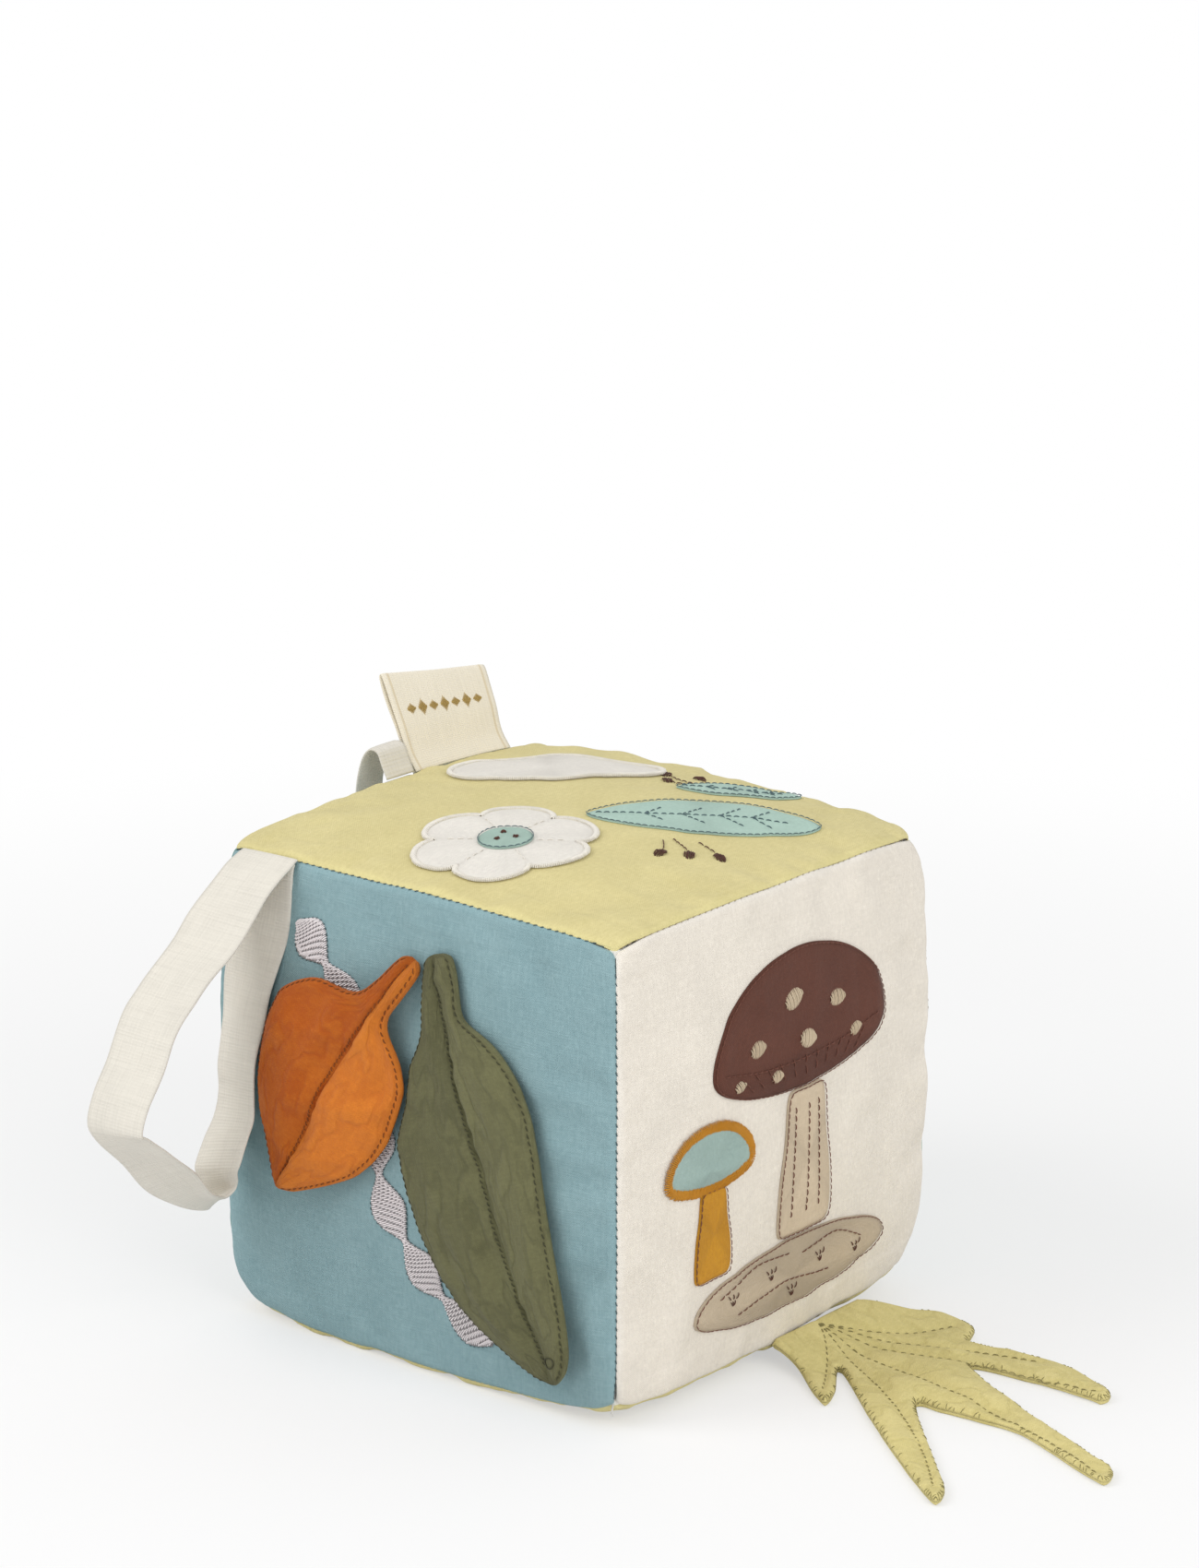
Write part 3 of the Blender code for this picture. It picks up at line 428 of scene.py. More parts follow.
class Cover:
    """The sewn cover: where its cloth lies, with the folds that air and seams give it."""

    # Creases of each panel: sizes along a and b, and their height
    CREASES = {
        "front": (0.017, 0.024, 0.00085), "back": (0.018, 0.024, 0.00080),
        "left": (0.018, 0.030, 0.00080), "right": (0.0060, 0.045, 0.00034),
        "top": (0.026, 0.020, 0.00060), "bottom": (0.030, 0.030, 0.00030),
    }

    # Folds beside the seams, as shares of the pucker height
    LONG_FOLDS = 1.7
    PINCHES = 3.2
    SEAM_ALLOWANCE = 0.5

    def __init__(self):
        self.shifts = {}
        self.broad = Grain(11)
        self.fine = Grain(23)
        self.depth = 0.0008
        self.pucker = 0.0005
        self.wander = 0.0004

    def points(self, face, a, b, height=0.0):
        """Places on a panel's cloth; height stands off it."""
        axis, sign, along, up = PANELS[face]
        units = panel_units(face, a, b)
        places = block_points(units)
        full = np.all(units * (-1, -1, 1) > 0, axis=1)
        draw = CORNER_DRAW * np.where(full, 0.3, 1.0) * np.abs(units.prod(axis=1)) ** 16
        places -= np.sign(units) * draw[:, None]
        smooth = places[:, axis].copy()
        if face in self.shifts:
            places += cubic_sample(self.shifts[face], a, b)
        seed = list(PANELS).index(face) * 17.3
        rise = np.zeros(len(a))
        fade = np.ones(len(a))
        groove = np.zeros(len(a))
        for values, other, way, across in ((a, b, along, up), (b, a, up, along)):
            near = (1 - np.abs(values)) * HALF[way]
            run = other * HALF[across]
            side = seed + np.sign(values) * 5.7 + way * 3.1
            groove = np.maximum(groove, bell(near, 0.0015))
            places[:, way] -= np.sign(values) * self.depth * bell(near, 0.0007)
            own = 2 * axis + (sign > 0)
            next_to = 2 * way + (values > 0)
            seam = own * next_to + 7.0 * (own + next_to)
            drift = self.broad(run / 0.0130, seam, np.zeros(len(a)))
            drift += 0.22 * self.broad(run / 0.0052, seam, np.ones(len(a)))
            drift *= self.wander * bell(near, 0.0060) * (1 - np.abs(other) ** 10)
            places[:, way] += np.sign(values) * drift
            places[:, axis] += sign * drift
            folds = self.fine(run / 0.0042, near / 0.0100, np.full(len(a), side))
            long_folds = self.fine(run / 0.0078, near / 0.0240, np.full(len(a), side + 1))
            pinches = self.fine(run / 0.0060, near / 0.0200, np.full(len(a), side + 2))
            pinches = np.maximum(pinches - 0.30, 0.0) / 0.70
            start = 1 - bell(near, 0.0016)
            rise += self.pucker * start * np.exp(-near / 0.0050) * folds
            rise += self.LONG_FOLDS * self.pucker * start * np.exp(-near / 0.0150) * long_folds
            rise -= self.PINCHES * self.pucker * start * np.exp(-near / 0.0110) * pinches
            pressed = 1 - clamped((near - 0.0085) / 0.0014)
            rise += self.SEAM_ALLOWANCE * self.pucker * start * pressed
            fade *= 1 - bell(near, 0.0060)
        wide, tall, high = self.CREASES[face]
        level = np.full(len(a), seed)
        crease = self.broad(a * HALF[along] / wide, b * HALF[up] / tall, level)
        crease += 0.5 * self.broad(
            a * HALF[along] / wide * 2.3 + b * 2, b * HALF[up] / tall * 2.1, level + 9
        )
        rise += high * crease * fade + (places[:, axis] - smooth) * sign
        room = np.where(rise > 0, COVER_RISE, COVER_SINK)
        rise = room * np.tanh(rise / room) - self.depth * groove
        places[:, axis] = smooth + sign * (rise + height)
        places[:, 2] = np.maximum(places[:, 2], 0.0)
        return places


COVER = Cover()


def vertex_places(mesh):
    """The places of a mesh's points."""
    places = np.empty(len(mesh.vertices) * 3)
    mesh.vertices.foreach_get("co", places)
    return places.reshape(-1, 3)


def simulate_cover():
    """Blow air into the sewn cover, seams held, and keep how far its cloth moves."""
    bm = bmesh.new()
    bmesh.ops.create_cube(bm, size=2.0)
    bmesh.ops.subdivide_edges(bm, edges=bm.edges[:], cuts=SIM_CELLS - 1, use_grid_fill=True)
    mesh = bpy.data.meshes.new("air_test")
    bm.to_mesh(mesh)
    bm.free()
    units = vertex_places(mesh)
    start = block_points(units)
    mesh.vertices.foreach_set("co", start.ravel())
    obj = bpy.data.objects.new("air_test", mesh)
    bpy.context.scene.collection.objects.link(obj)
    held = np.flatnonzero((np.abs(units) > 0.999).sum(axis=1) > 1)
    seams = obj.vertex_groups.new(name="seams")
    seams.add(held.tolist(), 1.0, "REPLACE")
    cloth = obj.modifiers.new("air", "CLOTH")
    cloth.settings.vertex_group_mass = "seams"
    cloth.settings.quality = 6
    cloth.settings.mass = 0.2
    cloth.settings.bending_stiffness = 0.05
    cloth.settings.shrink_min = -0.012
    cloth.settings.use_pressure = True
    cloth.settings.uniform_pressure_force = 2.0
    cloth.settings.effector_weights.gravity = 0.0
    cloth.collision_settings.use_collision = False
    for number in range(1, SIM_FRAMES + 1):
        bpy.context.scene.frame_set(number)
    evaluated = obj.evaluated_get(bpy.context.evaluated_depsgraph_get())
    shift = vertex_places(evaluated.to_mesh()) - start
    evaluated.to_mesh_clear()
    bpy.context.scene.frame_set(1)
    bpy.data.objects.remove(obj, do_unlink=True)
    cell = np.rint((units + 1) / 2 * SIM_CELLS).astype(int)
    for face, (axis, sign, along, up) in PANELS.items():
        grid = np.zeros((SIM_CELLS + 1, SIM_CELLS + 1, 3))
        mine = units[:, axis] * sign > 0.999
        swell = np.prod(1 - np.abs(units[mine][:, [along, up]]) ** 3, axis=1)
        out = shift[mine, axis] * sign
        middle = swell > 0.15
        out = out - swell * np.quantile(out[middle] / swell[middle], 0.8)
        cap = np.where(out > 0, SIM_RISE, SIM_SINK)
        moves = np.clip(shift[mine], -SIM_RISE, SIM_RISE)
        moves[:, axis] = sign * cap * np.tanh(out / cap)
        grid[cell[mine, along], cell[mine, up]] = moves
        COVER.shifts[face] = grid


def outward(mesh):
    """Turn a closed mesh's faces outward."""
    places = vertex_places(mesh)
    mesh.calc_loop_triangles()
    corners = np.empty(len(mesh.loop_triangles) * 3, np.int32)
    mesh.loop_triangles.foreach_get("vertices", corners)
    a, b, c = (places[corners[k::3]] for k in range(3))
    if (a * np.cross(b, c)).sum() < 0:
        mesh.flip_normals()
    mesh.update()


def weave_map(mesh, u, v):
    """Keep each point's place on the flat cloth, in metres, for the weave."""
    corners = np.empty(len(mesh.loops), np.int32)
    mesh.loops.foreach_get("vertex_index", corners)
    layer = mesh.uv_layers.new(name="weave")
    layer.uv.foreach_set("vector", np.stack((u, v), -1)[corners].ravel())


def cloth_mesh(name, place, columns, rows, size):
    """A closed sheet of cloth; place(a, b, inner) gives the places of its grid points."""
    bm = bmesh.new()
    for _copy in range(2):
        bmesh.ops.create_grid(bm, x_segments=columns, y_segments=rows, size=1.0)
    inner_faces = bm.faces[len(bm.faces) // 2:]
    bmesh.ops.reverse_faces(bm, faces=inner_faces)
    bmesh.ops.bridge_loops(bm, edges=[edge for edge in bm.edges if edge.is_boundary])
    mesh = bpy.data.meshes.new(name)
    bm.to_mesh(mesh)
    bm.free()
    a, b = vertex_places(mesh)[:, :2].T.copy()
    inner = np.arange(len(a)) >= len(a) // 2
    mesh.vertices.foreach_set("co", place(a, b, inner).ravel())
    weave_map(mesh, a * size[0] / 2, b * size[1] / 2)
    outward(mesh)
    mesh.shade_smooth()
    return mesh


def sew(name, runs, thickness, finish, body="block", sides=1):
    """Add threads along runs of points, thin at both ends, as one piece."""
    curve = bpy.data.curves.new(name, "CURVE")
    curve.dimensions = "3D"
    curve.bevel_depth = thickness / 2
    curve.bevel_resolution = sides
    curve.use_fill_caps = True
    for run in runs:
        spline = curve.splines.new("POLY")
        spline.points.add(len(run) - 1)
        spline.points.foreach_set("co", np.c_[run, np.ones(len(run))].ravel())
        radius = np.ones(len(run))
        radius[[0, -1]] = 0.55
        spline.points.foreach_set("radius", radius)
    guide = bpy.data.objects.new(name, curve)
    bpy.context.scene.collection.objects.link(guide)
    evaluated = guide.evaluated_get(bpy.context.evaluated_depsgraph_get())
    mesh = bpy.data.meshes.new_from_object(evaluated)
    bpy.data.objects.remove(guide, do_unlink=True)
    bpy.data.curves.remove(curve)
    mesh.shade_smooth()
    add_piece(name, mesh, finish, body)


def add_piece(name, mesh, finish, body, stands_for=(), bend=None):
    """Put a finished mesh in the scene, riding on its body, or left in place without a body when a
    bend is given.
    """
    obj = bpy.data.objects.new(name, mesh)
    bpy.context.scene.collection.objects.link(obj)
    mesh.materials.clear()
    mesh.materials.append(finish)
    if bend:
        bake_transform(obj)
    else:
        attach(obj, body)
    if stands_for:
        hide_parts(*stands_for)
    return obj


def unit(vectors):
    """Vectors made one long."""
    return vectors / np.maximum(np.linalg.norm(vectors, axis=1, keepdims=True), 1e-9)


def travel(path):
    """How far along a path each of its points lies."""
    steps = np.linalg.norm(np.diff(path, axis=0), axis=1)
    return np.concatenate(([0], np.cumsum(steps)))


def read_along(wanted, along, values):
    """Vectors that belong to a path's points, read at other places along it."""
    return np.stack([np.interp(wanted, along, column) for column in values.T], -1)


def resample(path, spacing):
    """Points at even steps along a path, and how long it is."""
    path = np.asarray(path, float)
    along = travel(path)
    count = max(int(round(along[-1] / spacing)), 1)
    wanted = np.linspace(0, along[-1], count + 1)
    return read_along(wanted, along, path), along[-1]


def stitch_runs(path, outwards, stitch, gap, lift=0.00018, slant=0.00012, seed=1):
    """One short arched run of thread for each stitch along a path on the cloth."""
    fine, total = resample(path, 0.0002)
    out = resample_like(path, outwards, len(fine))
    count = max(int(total / (stitch + gap)), 1)
    pitch = total / count
    share = stitch / (stitch + gap)
    random = np.random.default_rng(seed)
    arch = np.array((-1.3, 0.55, 1.0, 0.55, -1.3))
    runs = []
    for number in range(count):
        begin = number * pitch + random.uniform(-0.05, 0.05) * pitch
        where = (begin + np.linspace(0, share, 5) * pitch) / total * (len(fine) - 1)
        where = np.clip(where, 0, len(fine) - 1)
        low = np.floor(where).astype(int)
        high = np.minimum(low + 1, len(fine) - 1)
        part = (where - low)[:, None]
        run = fine[low] * (1 - part) + fine[high] * part
        normal = out[low]
        ahead = run[-1] - run[0]
        sideways = np.cross(normal, ahead / max(np.linalg.norm(ahead), 1e-9))
        sway = np.linspace(-1, 1, 5)[:, None] * slant * random.uniform(0.6, 1.4)
        runs.append(run + normal * (arch * lift)[:, None] + sideways * sway)
    return runs


def resample_like(path, values, count):
    """Directions that belong to a path's points, read at even steps along it."""
    along = travel(np.asarray(path, float))
    wanted = np.linspace(0, along[-1], count)
    return unit(read_along(wanted, along, np.asarray(values, float)))


def curve_through(points, shares):
    """Places on the smooth curve through a list of points, at shares of the list."""
    points = np.asarray(points, float)
    place = np.asarray(shares) * (len(points) - 1)
    index = np.clip(place.astype(int), 0, len(points) - 2)
    t = (place - index)[:, None]
    before = points[np.maximum(index - 1, 0)]
    start, end = points[index], points[index + 1]
    after = points[np.minimum(index + 2, len(points) - 1)]
    return 0.5 * (
        2 * start + (end - before) * t + (2 * before - 5 * start + 4 * end - after) * t**2
        + (3 * start - before - 3 * end + after) * t**3
    )


class Wire:
    """A socket of a material's tree; arithmetic on it adds Math nodes."""

    def __init__(self, finish, socket):
        self.finish = finish
        self.socket = socket

    def maths(self, operation, *values):
        """The result of a Math node."""
        made = self.finish.node(
            "ShaderNodeMath", {"operation": operation}, dict(enumerate(values))
        )
        return Wire(self.finish, made.outputs[0])

    def __add__(self, other):
        return self.maths("ADD", self, other)

    def __radd__(self, other):
        return self.maths("ADD", other, self)

    def __sub__(self, other):
        return self.maths("SUBTRACT", self, other)

    def __rsub__(self, other):
        return self.maths("SUBTRACT", other, self)

    def __mul__(self, other):
        return self.maths("MULTIPLY", self, other)

    def __rmul__(self, other):
        return self.maths("MULTIPLY", other, self)

    def wave(self, pitch):
        """A sine of this value that repeats after each pitch."""
        return self.maths("SINE", self * (2 * math.pi / pitch))

    def size(self):
        """This value without its sign."""
        return self.maths("ABSOLUTE", self)

    def ramp(self, low, high):
        """0 below low, 1 above high, and smooth between."""
        made = self.finish.node(
            "ShaderNodeMapRange", {"interpolation_type": "SMOOTHSTEP"},
            {0: self, 1: low, 2: high, 3: 0.0, 4: 1.0},
        )
        return Wire(self.finish, made.outputs[0])


class Tree:
    """A node tree and the one method that adds nodes to it."""

    def __init__(self, tree):
        self.tree = tree

    def node(self, kind, settings=None, values=None):
        """Add a node: its settings first, then its sockets' values or links."""
        made = self.tree.nodes.new(kind)
        for key, value in (settings or {}).items():
            setattr(made, key, value)
        for key, value in (values or {}).items():
            self.feed(made.inputs[key], value)
        return made

    def feed(self, socket, value):
        """Link a wire to a socket, or set a plain value on it."""
        if isinstance(value, Wire):
            self.tree.links.new(value.socket, socket)
        else:
            socket.default_value = value


class Finish(Tree):
    """One material and the sockets of its shader that it feeds."""

    def __init__(self, name, roughness=0.9, sheen=0.0):
        self.material = bpy.data.materials.new(name)
        self.material.use_nodes = True
        super().__init__(self.material.node_tree)
        self.shader = self.tree.nodes["Principled BSDF"]
        self.shader.inputs["Roughness"].default_value = roughness
        self.shader.inputs["Sheen Weight"].default_value = sheen
        self.shader.inputs["Sheen Roughness"].default_value = 0.5
        self.shader.inputs["Specular IOR Level"].default_value = 0.25

    def cloth_place(self):
        """The two coordinates on the flat cloth, in metres, and both as one vector."""
        flat = self.node("ShaderNodeUVMap", {"uv_map": "weave"})
        parts = self.node(
            "ShaderNodeSeparateXYZ", None, {0: Wire(self, flat.outputs[0])}
        )
        return [Wire(self, socket) for socket in (*parts.outputs[:2], flat.outputs[0])]

    def object_place(self):
        """The three coordinates in the object, in metres, and all as one vector."""
        where = self.node("ShaderNodeTexCoord")
        parts = self.node("ShaderNodeSeparateXYZ", None, {0: Wire(self, where.outputs[3])})
        return [Wire(self, socket) for socket in (*parts.outputs[:3], where.outputs[3])]

    def streaks(self, vector, across, along, detail=1.0, roughness=0.5):
        """Cloudy values drawn out by two different scales."""
        made = self.node(
            "ShaderNodeVectorMath", {"operation": "MULTIPLY"},
            {0: vector, 1: (across, along, 1.0)},
        )
        return self.noise(Wire(self, made.outputs[0]), 1.0, detail, roughness)

    def noise(self, vector, scale, detail=2.0, roughness=0.5):
        """Cloudy values round a half."""
        made = self.node(
            "ShaderNodeTexNoise", None,
            {"Vector": vector, "Scale": scale, "Detail": detail, "Roughness": roughness},
        )
        return Wire(self, made.outputs[0])

    def mixed(self, factor, first, second, blend="MIX"):
        """Two colours mixed by a factor."""
        first, second = (
            colour if isinstance(colour, Wire) else (*tuple(colour)[:3], 1.0)
            for colour in (first, second)
        )
        made = self.node(
            "ShaderNodeMix", {"data_type": "RGBA", "blend_type": blend},
            {0: factor, 6: first, 7: second},
        )
        return Wire(self, made.outputs[2])

    def colour(self, value):
        """Feed the surface's own colour."""
        value = value if isinstance(value, Wire) else (*tuple(value)[:3], 1.0)
        self.feed(self.shader.inputs["Base Color"], value)

    def roughen(self, value):
        """Feed the surface's roughness."""
        self.feed(self.shader.inputs["Roughness"], value)

    def bump(self, height, distance, strength=0.6):
        """Feed the surface's normal from a height."""
        made = self.node(
            "ShaderNodeBump", None,
            {"Strength": strength, "Distance": distance, "Height": height},
        )
        self.feed(self.shader.inputs["Normal"], Wire(self, made.outputs[0]))


def shade(colour, factor):
    """A colour made darker or lighter."""
    return tuple(min(part * factor, 1.0) for part in tuple(colour)[:3])


def cotton(name, colour, half=None, slub=1.0, second=None, crease_bump_and_shade=0.0):
    """Woven cotton: threads both ways, slubs, faint clouds, and pale wear at its edges, with
    painted shade on one half of a leaf and along its creases.
    """
    finish = Finish(name, roughness=0.92, sheen=0.05)
    u, v, flat = finish.cloth_place()
    warp = finish.streaks(flat, 2600.0, 130.0)
    weft = finish.streaks(flat, 130.0, 2600.0)
    clouds = finish.noise(flat, 55.0, 3.0)
    weave = u.wave(WEAVE_PITCH) * v.wave(WEAVE_PITCH)
    threads = (warp + weft - 1.0) * slub
    body = colour
    # Painted shade: second is a darker colour for the half of a leaf on one side of its rib,
    # standing for the half turned away from the light
    if second is not None:
        body = finish.mixed(v.ramp(-0.0004, 0.0004), second, colour)
    nap = finish.streaks(flat, 900.0, 520.0, 4.0, 0.75)
    dark = finish.mixed(1.0, body, (0.78, 0.78, 0.79), "MULTIPLY")
    light = finish.mixed(0.07, body, shade(colour, 4.0))
    tone = 0.44 + threads * 0.34 + (clouds - 0.5) * 0.55 + weave * 0.05 + (nap - 0.5) * 0.9
    height = weave * 0.22 + threads * 0.7 + clouds * 0.4 + nap * 0.8
    if crease_bump_and_shade:
        bends = finish.streaks(flat, 65.0, 95.0, 2.0)
        ridge = (bends - 0.5).size().ramp(0.055, 0.0)
        # Painted shade: the tone darkens along the crease lines and follows the crease heights,
        # standing for the shading of the creases; the same creases also feed the bump
        tone = tone - ridge * (0.30 * crease_bump_and_shade) + (bends - 0.5) * (0.9 * crease_bump_and_shade)
        height = height + bends * (9.0 * crease_bump_and_shade) - ridge * (1.6 * crease_bump_and_shade)
    dyed = finish.mixed(tone.ramp(0.0, 1.0), dark, light)
    dyed = finish.mixed(nap.ramp(0.60, 0.74) * 0.20, dyed, shade(colour, 1.22))
    if half is not None:
        worn_u = u.size().ramp(half[0] - 0.0030, half[0] + 0.0004)
        worn_v = v.size().ramp(half[1] - 0.0030, half[1] + 0.0004)
        worn = worn_u.maths("MAXIMUM", worn_u, worn_v)
        fibres = finish.noise(flat, 900.0, 2.0)
        dyed = finish.mixed(worn * fibres * 0.40, dyed, shade(colour, 1.45))
    finish.colour(dyed)
    finish.roughen(0.86 + threads * 0.10)
    finish.bump(height, 0.00024, 0.75)
    return finish.material


def thread_finish(name, colour, dark=0.62):
    """Twisted thread: fine plies along it, with painted shade that makes it brighter on its back
    than between strands.
    """
    finish = Finish(name, roughness=0.62, sheen=0.04)
    x, y, z, place = finish.object_place()
    plies = (x + y * 1.3 + z * 1.7).wave(PLY_PITCH)
    fibres = finish.noise(place, 2100.0, 2.0)
    tone = plies * 0.28 + fibres * 0.7 + 0.12
    # Painted shade: the ply stripes darken the colour between strands, down to the dark share of
    # its colour; the same stripes feed the bump
    finish.colour(finish.mixed(tone.ramp(0.0, 1.0), shade(colour, dark), shade(colour, 1.12)))
    finish.roughen(0.56 + fibres * 0.16)
    finish.bump(plies * 0.5 + fibres * 0.5, 0.00008, 0.6)
    return finish.material


def tape_finish(name, colour, width):
    """Cotton tape: close ribs across it and firm selvedges."""
    finish = Finish(name, roughness=0.9, sheen=0.05)
    u, v, flat = finish.cloth_place()
    across = finish.streaks(flat, 1500.0, 60.0)
    lengthwise = finish.streaks(flat, 70.0, 1700.0)
    clouds = finish.noise(flat, 42.0, 3.0)
    rib = u.wave(RIB_PITCH) * 0.5 + v.wave(RIB_PITCH * 1.3) * 0.35
    edge = v.size().ramp(width / 2 - 0.0014, width / 2 - 0.0006)
    tone = 0.55 + (across + lengthwise - 1.0) * 0.5 + (clouds - 0.5) * 0.5 + rib * 0.08
    body = finish.mixed(tone.ramp(0.0, 1.0), shade(colour, 0.86), shade(colour, 1.05))
    finish.colour(finish.mixed(edge * 0.35, body, shade(colour, 0.90)))
    finish.roughen(0.84 + across * 0.1)
    finish.bump(rib * 0.5 + across + lengthwise + edge * 0.6, 0.00018, 0.6)
    return finish.material


def label_finish(name, colour, gold):
    """Satin label cloth: fine lengthwise sheen lines and a faint woven border."""
    finish = Finish(name, roughness=0.6, sheen=0.08)
    u, v, flat = finish.cloth_place()
    lines = finish.streaks(flat, 90.0, 2400.0)
    picks = u.wave(0.00045)
    clouds = finish.noise(flat, 60.0, 2.0)
    tone = 0.5 + (lines - 0.5) * 0.9 + picks * 0.08 + (clouds - 0.5) * 0.4
    body = finish.mixed(tone.ramp(0.0, 1.0), shade(colour, 0.90), shade(colour, 1.04))
    border = (v.size() - 0.0172).size().ramp(0.0006, 0.0002)
    finish.colour(finish.mixed(border * 0.35, body, gold))
    finish.roughen(0.55 + lines * 0.15)
    finish.bump(lines + picks * 0.4, 0.00012, 0.5)
    return finish.material


def hidden_finish(name, colour, grain, roughness, bump, sheen=0.0):
    """Finish of a piece inside the block: cells or grain in its colour and height."""
    finish = Finish(name, roughness=roughness, sheen=sheen)
    place = finish.object_place()[-1]
    cells = finish.node("ShaderNodeTexVoronoi", None, {"Vector": place, "Scale": grain})
    size = Wire(finish, cells.outputs[0])
    clouds = finish.noise(place, grain / 9, 3.0)
    tone = size * 0.6 + clouds * 0.5
    finish.colour(finish.mixed(tone.ramp(0.1, 0.9), shade(colour, 1.05), shade(colour, 0.82)))
    finish.roughen(roughness + (clouds - 0.5) * 0.2)
    finish.bump(size + clouds, bump, 0.5)
    return finish.material


def settings():
    """The block's settings in the open file."""
    return bpy.context.scene.fabric_block


class FABRICBLOCK_OT_cover(bpy.types.Operator):
    """Six padded cotton panels, blown up with air and drawn in at their seams"""

    bl_idname = "fabric_block.cover"
    bl_label = "Cover panels"

    def execute(self, context):
        chosen = settings()
        COVER.depth = chosen.seam_depth
        COVER.pucker = chosen.pucker
        COVER.wander = chosen.wander
        simulate_cover()
        finishes = {
            "front": (chosen.blue, "blue_cotton", 1.15),
            "back": (chosen.mint, "mint_cotton", 1.0),
            "left": (chosen.teal, "teal_cotton", 1.1),
            "right": (chosen.cream, "cream_cotton", 0.75),
            "top": (chosen.straw, "straw_cotton", 0.6),
            "bottom": (chosen.straw, "straw_cotton", 0.6),
        }
        for face, (colour, slot, slub) in finishes.items():
            along, up = PANELS[face][2:]

            def place(a, b, inner, face=face):
                a, b = eased(a), eased(b)
                outer = COVER.points(face, a, b)
                tucked = COVER.points(face, a * 0.985, b * 0.985, -COVER_CLOTH)
                return np.where(inner[:, None], tucked, outer)

            size = (2 * HALF[along], 2 * HALF[up])
            mesh = cloth_mesh(f"{face}_panel_cloth", place, PANEL_CELLS, PANEL_CELLS, size)
            self.spread_weave(mesh, HALF[along], HALF[up])
            finish = cotton(f"{face}_cotton", colour, (HALF[along], HALF[up]), slub=slub)
            piece = add_piece(
                f"{face}_panel_cloth", mesh, finish, "block", [f"{face}_panel"]
            )
        return {"FINISHED"}

    @staticmethod
    def spread_weave(mesh, half_a, half_b):
        """Give the weave map the same closer steps towards the seams as the cloth has."""
        layer = mesh.uv_layers["weave"]
        values = np.empty(len(mesh.loops) * 2)
        layer.uv.foreach_get("vector", values)
        values = values.reshape(-1, 2)
        half = np.array((half_a, half_b))
        layer.uv.foreach_set("vector", (eased(values / half) * half).ravel())


class FABRICBLOCK_OT_seams(bpy.types.Operator):
    """Stitches along the twelve seams of the cover"""

    bl_idname = "fabric_block.seams"
    bl_label = "Seam stitches"

    def execute(self, context):
        chosen = settings()
        slate = thread_finish("slate_seam_thread", chosen.slate)
        seams = {
            "seam_stitches_slate": (slate, (("top", "b", -1), ("front", "a", 1))),
            "seam_stitches_teal": (thread_finish("teal_seam_thread", chosen.teal), (
                ("front", "a", -1), ("back", "a", -1), ("top", "a", -1),
            )),
            "seam_stitches_straw": (thread_finish("straw_seam_thread", chosen.straw), (
                ("bottom", "b", -1), ("bottom", "b", 1), ("bottom", "a", -1),
                ("bottom", "a", 1),
            )),
            "seam_stitches_beige": (
                thread_finish("beige_seam_thread", shade(chosen.beige, 0.62)),
                (("top", "a", 1), ("back", "a", 1), ("top", "b", 1)),
            ),
        }
        run = eased(np.linspace(-0.985, 0.985, 240))
        for name, (finish, places) in seams.items():
            runs = []
            sunk = 0.00004 if finish is slate else 0.00022
            for number, (face, across, sign) in enumerate(places):
                axis, way, along, up = PANELS[face]
                fixed = np.full(len(run), float(sign))
                a, b = (fixed, run) if across == "a" else (run, fixed)
                path = COVER.points(face, a, b)
                out = np.zeros((len(run), 3))
                out[:, axis] = way
                out[:, along if across == "a" else up] = sign
                out /= math.sqrt(2)
                runs += stitch_runs(
                    path - out * sunk, out, chosen.stitch * 0.75, chosen.stitch_gap * 1.3,
                    slant=0.00024, seed=40 + number,
                )
            sew(name, runs, chosen.thread, finish)
        self.thread_end()
        return {"FINISHED"}

    @staticmethod
    def thread_end():
        """The loose end of the seam thread at the near lower corner."""
        corner = COVER.points("front", np.array((0.985,)), np.array((-1.0,)))[0]
        steps = np.array((
            (0.0, 0.0, 0.0), (0.0004, -0.0008, -0.0006), (0.0007, -0.0014, -0.0016),
            (0.0006, -0.0017, -0.0028), (0.0010, -0.0016, -0.0038),
        ))
        run = corner + np.array((0.0, 0.0, 0.0002)) + steps
        run[:, 2] = np.maximum(run[:, 2], 0.0003)
        pale = thread_finish("loose_thread", LOOSE_THREAD_COLOUR)
        sew("loose_thread_end", [run], LOOSE_THREAD, pale)


def polar_outline(kind, angle):
    """Radius of a picture's outline at an angle, as a share of its size."""
    c, s = np.cos(angle), np.sin(angle)
    if kind == "daisy":
        return 0.74 + 0.26 * np.sqrt(np.abs(np.cos(3 * angle)) + 0.004)
    if kind == "disc":
        return np.full(len(angle), 0.30)
    if kind == "cloud":
        turned = angle - PICTURE_TURN
        oval = 0.46 / np.hypot(0.46 * np.cos(turned), np.sin(turned))
        return oval * (0.93 + 0.07 * np.cos(5 * turned))
    if kind in ("large_sprig", "small_sprig"):
        slim = 0.42 if kind == "large_sprig" else 0.45
        turned = angle - PICTURE_TURN
        return slim / np.hypot(slim * np.cos(turned), np.abs(np.sin(turned)) ** 0.8)
    if kind == "mound":
        return 0.30 / np.hypot(0.30 * c, s * np.where(angle < 0, 1.6, 1.0))
    if kind == "stem":
        wide = 0.42 - 0.08 * s
        sharp = 9
        first = (np.abs(c) / wide) ** sharp
        second = (np.abs(s) / 0.90) ** sharp
        return (first + second) ** (-1 / sharp)
    low = 0.30 / np.hypot(0.30 * c, s)
    high = 0.76 / np.hypot(0.76 * c, s)
    return np.where(angle < 0, low, high)


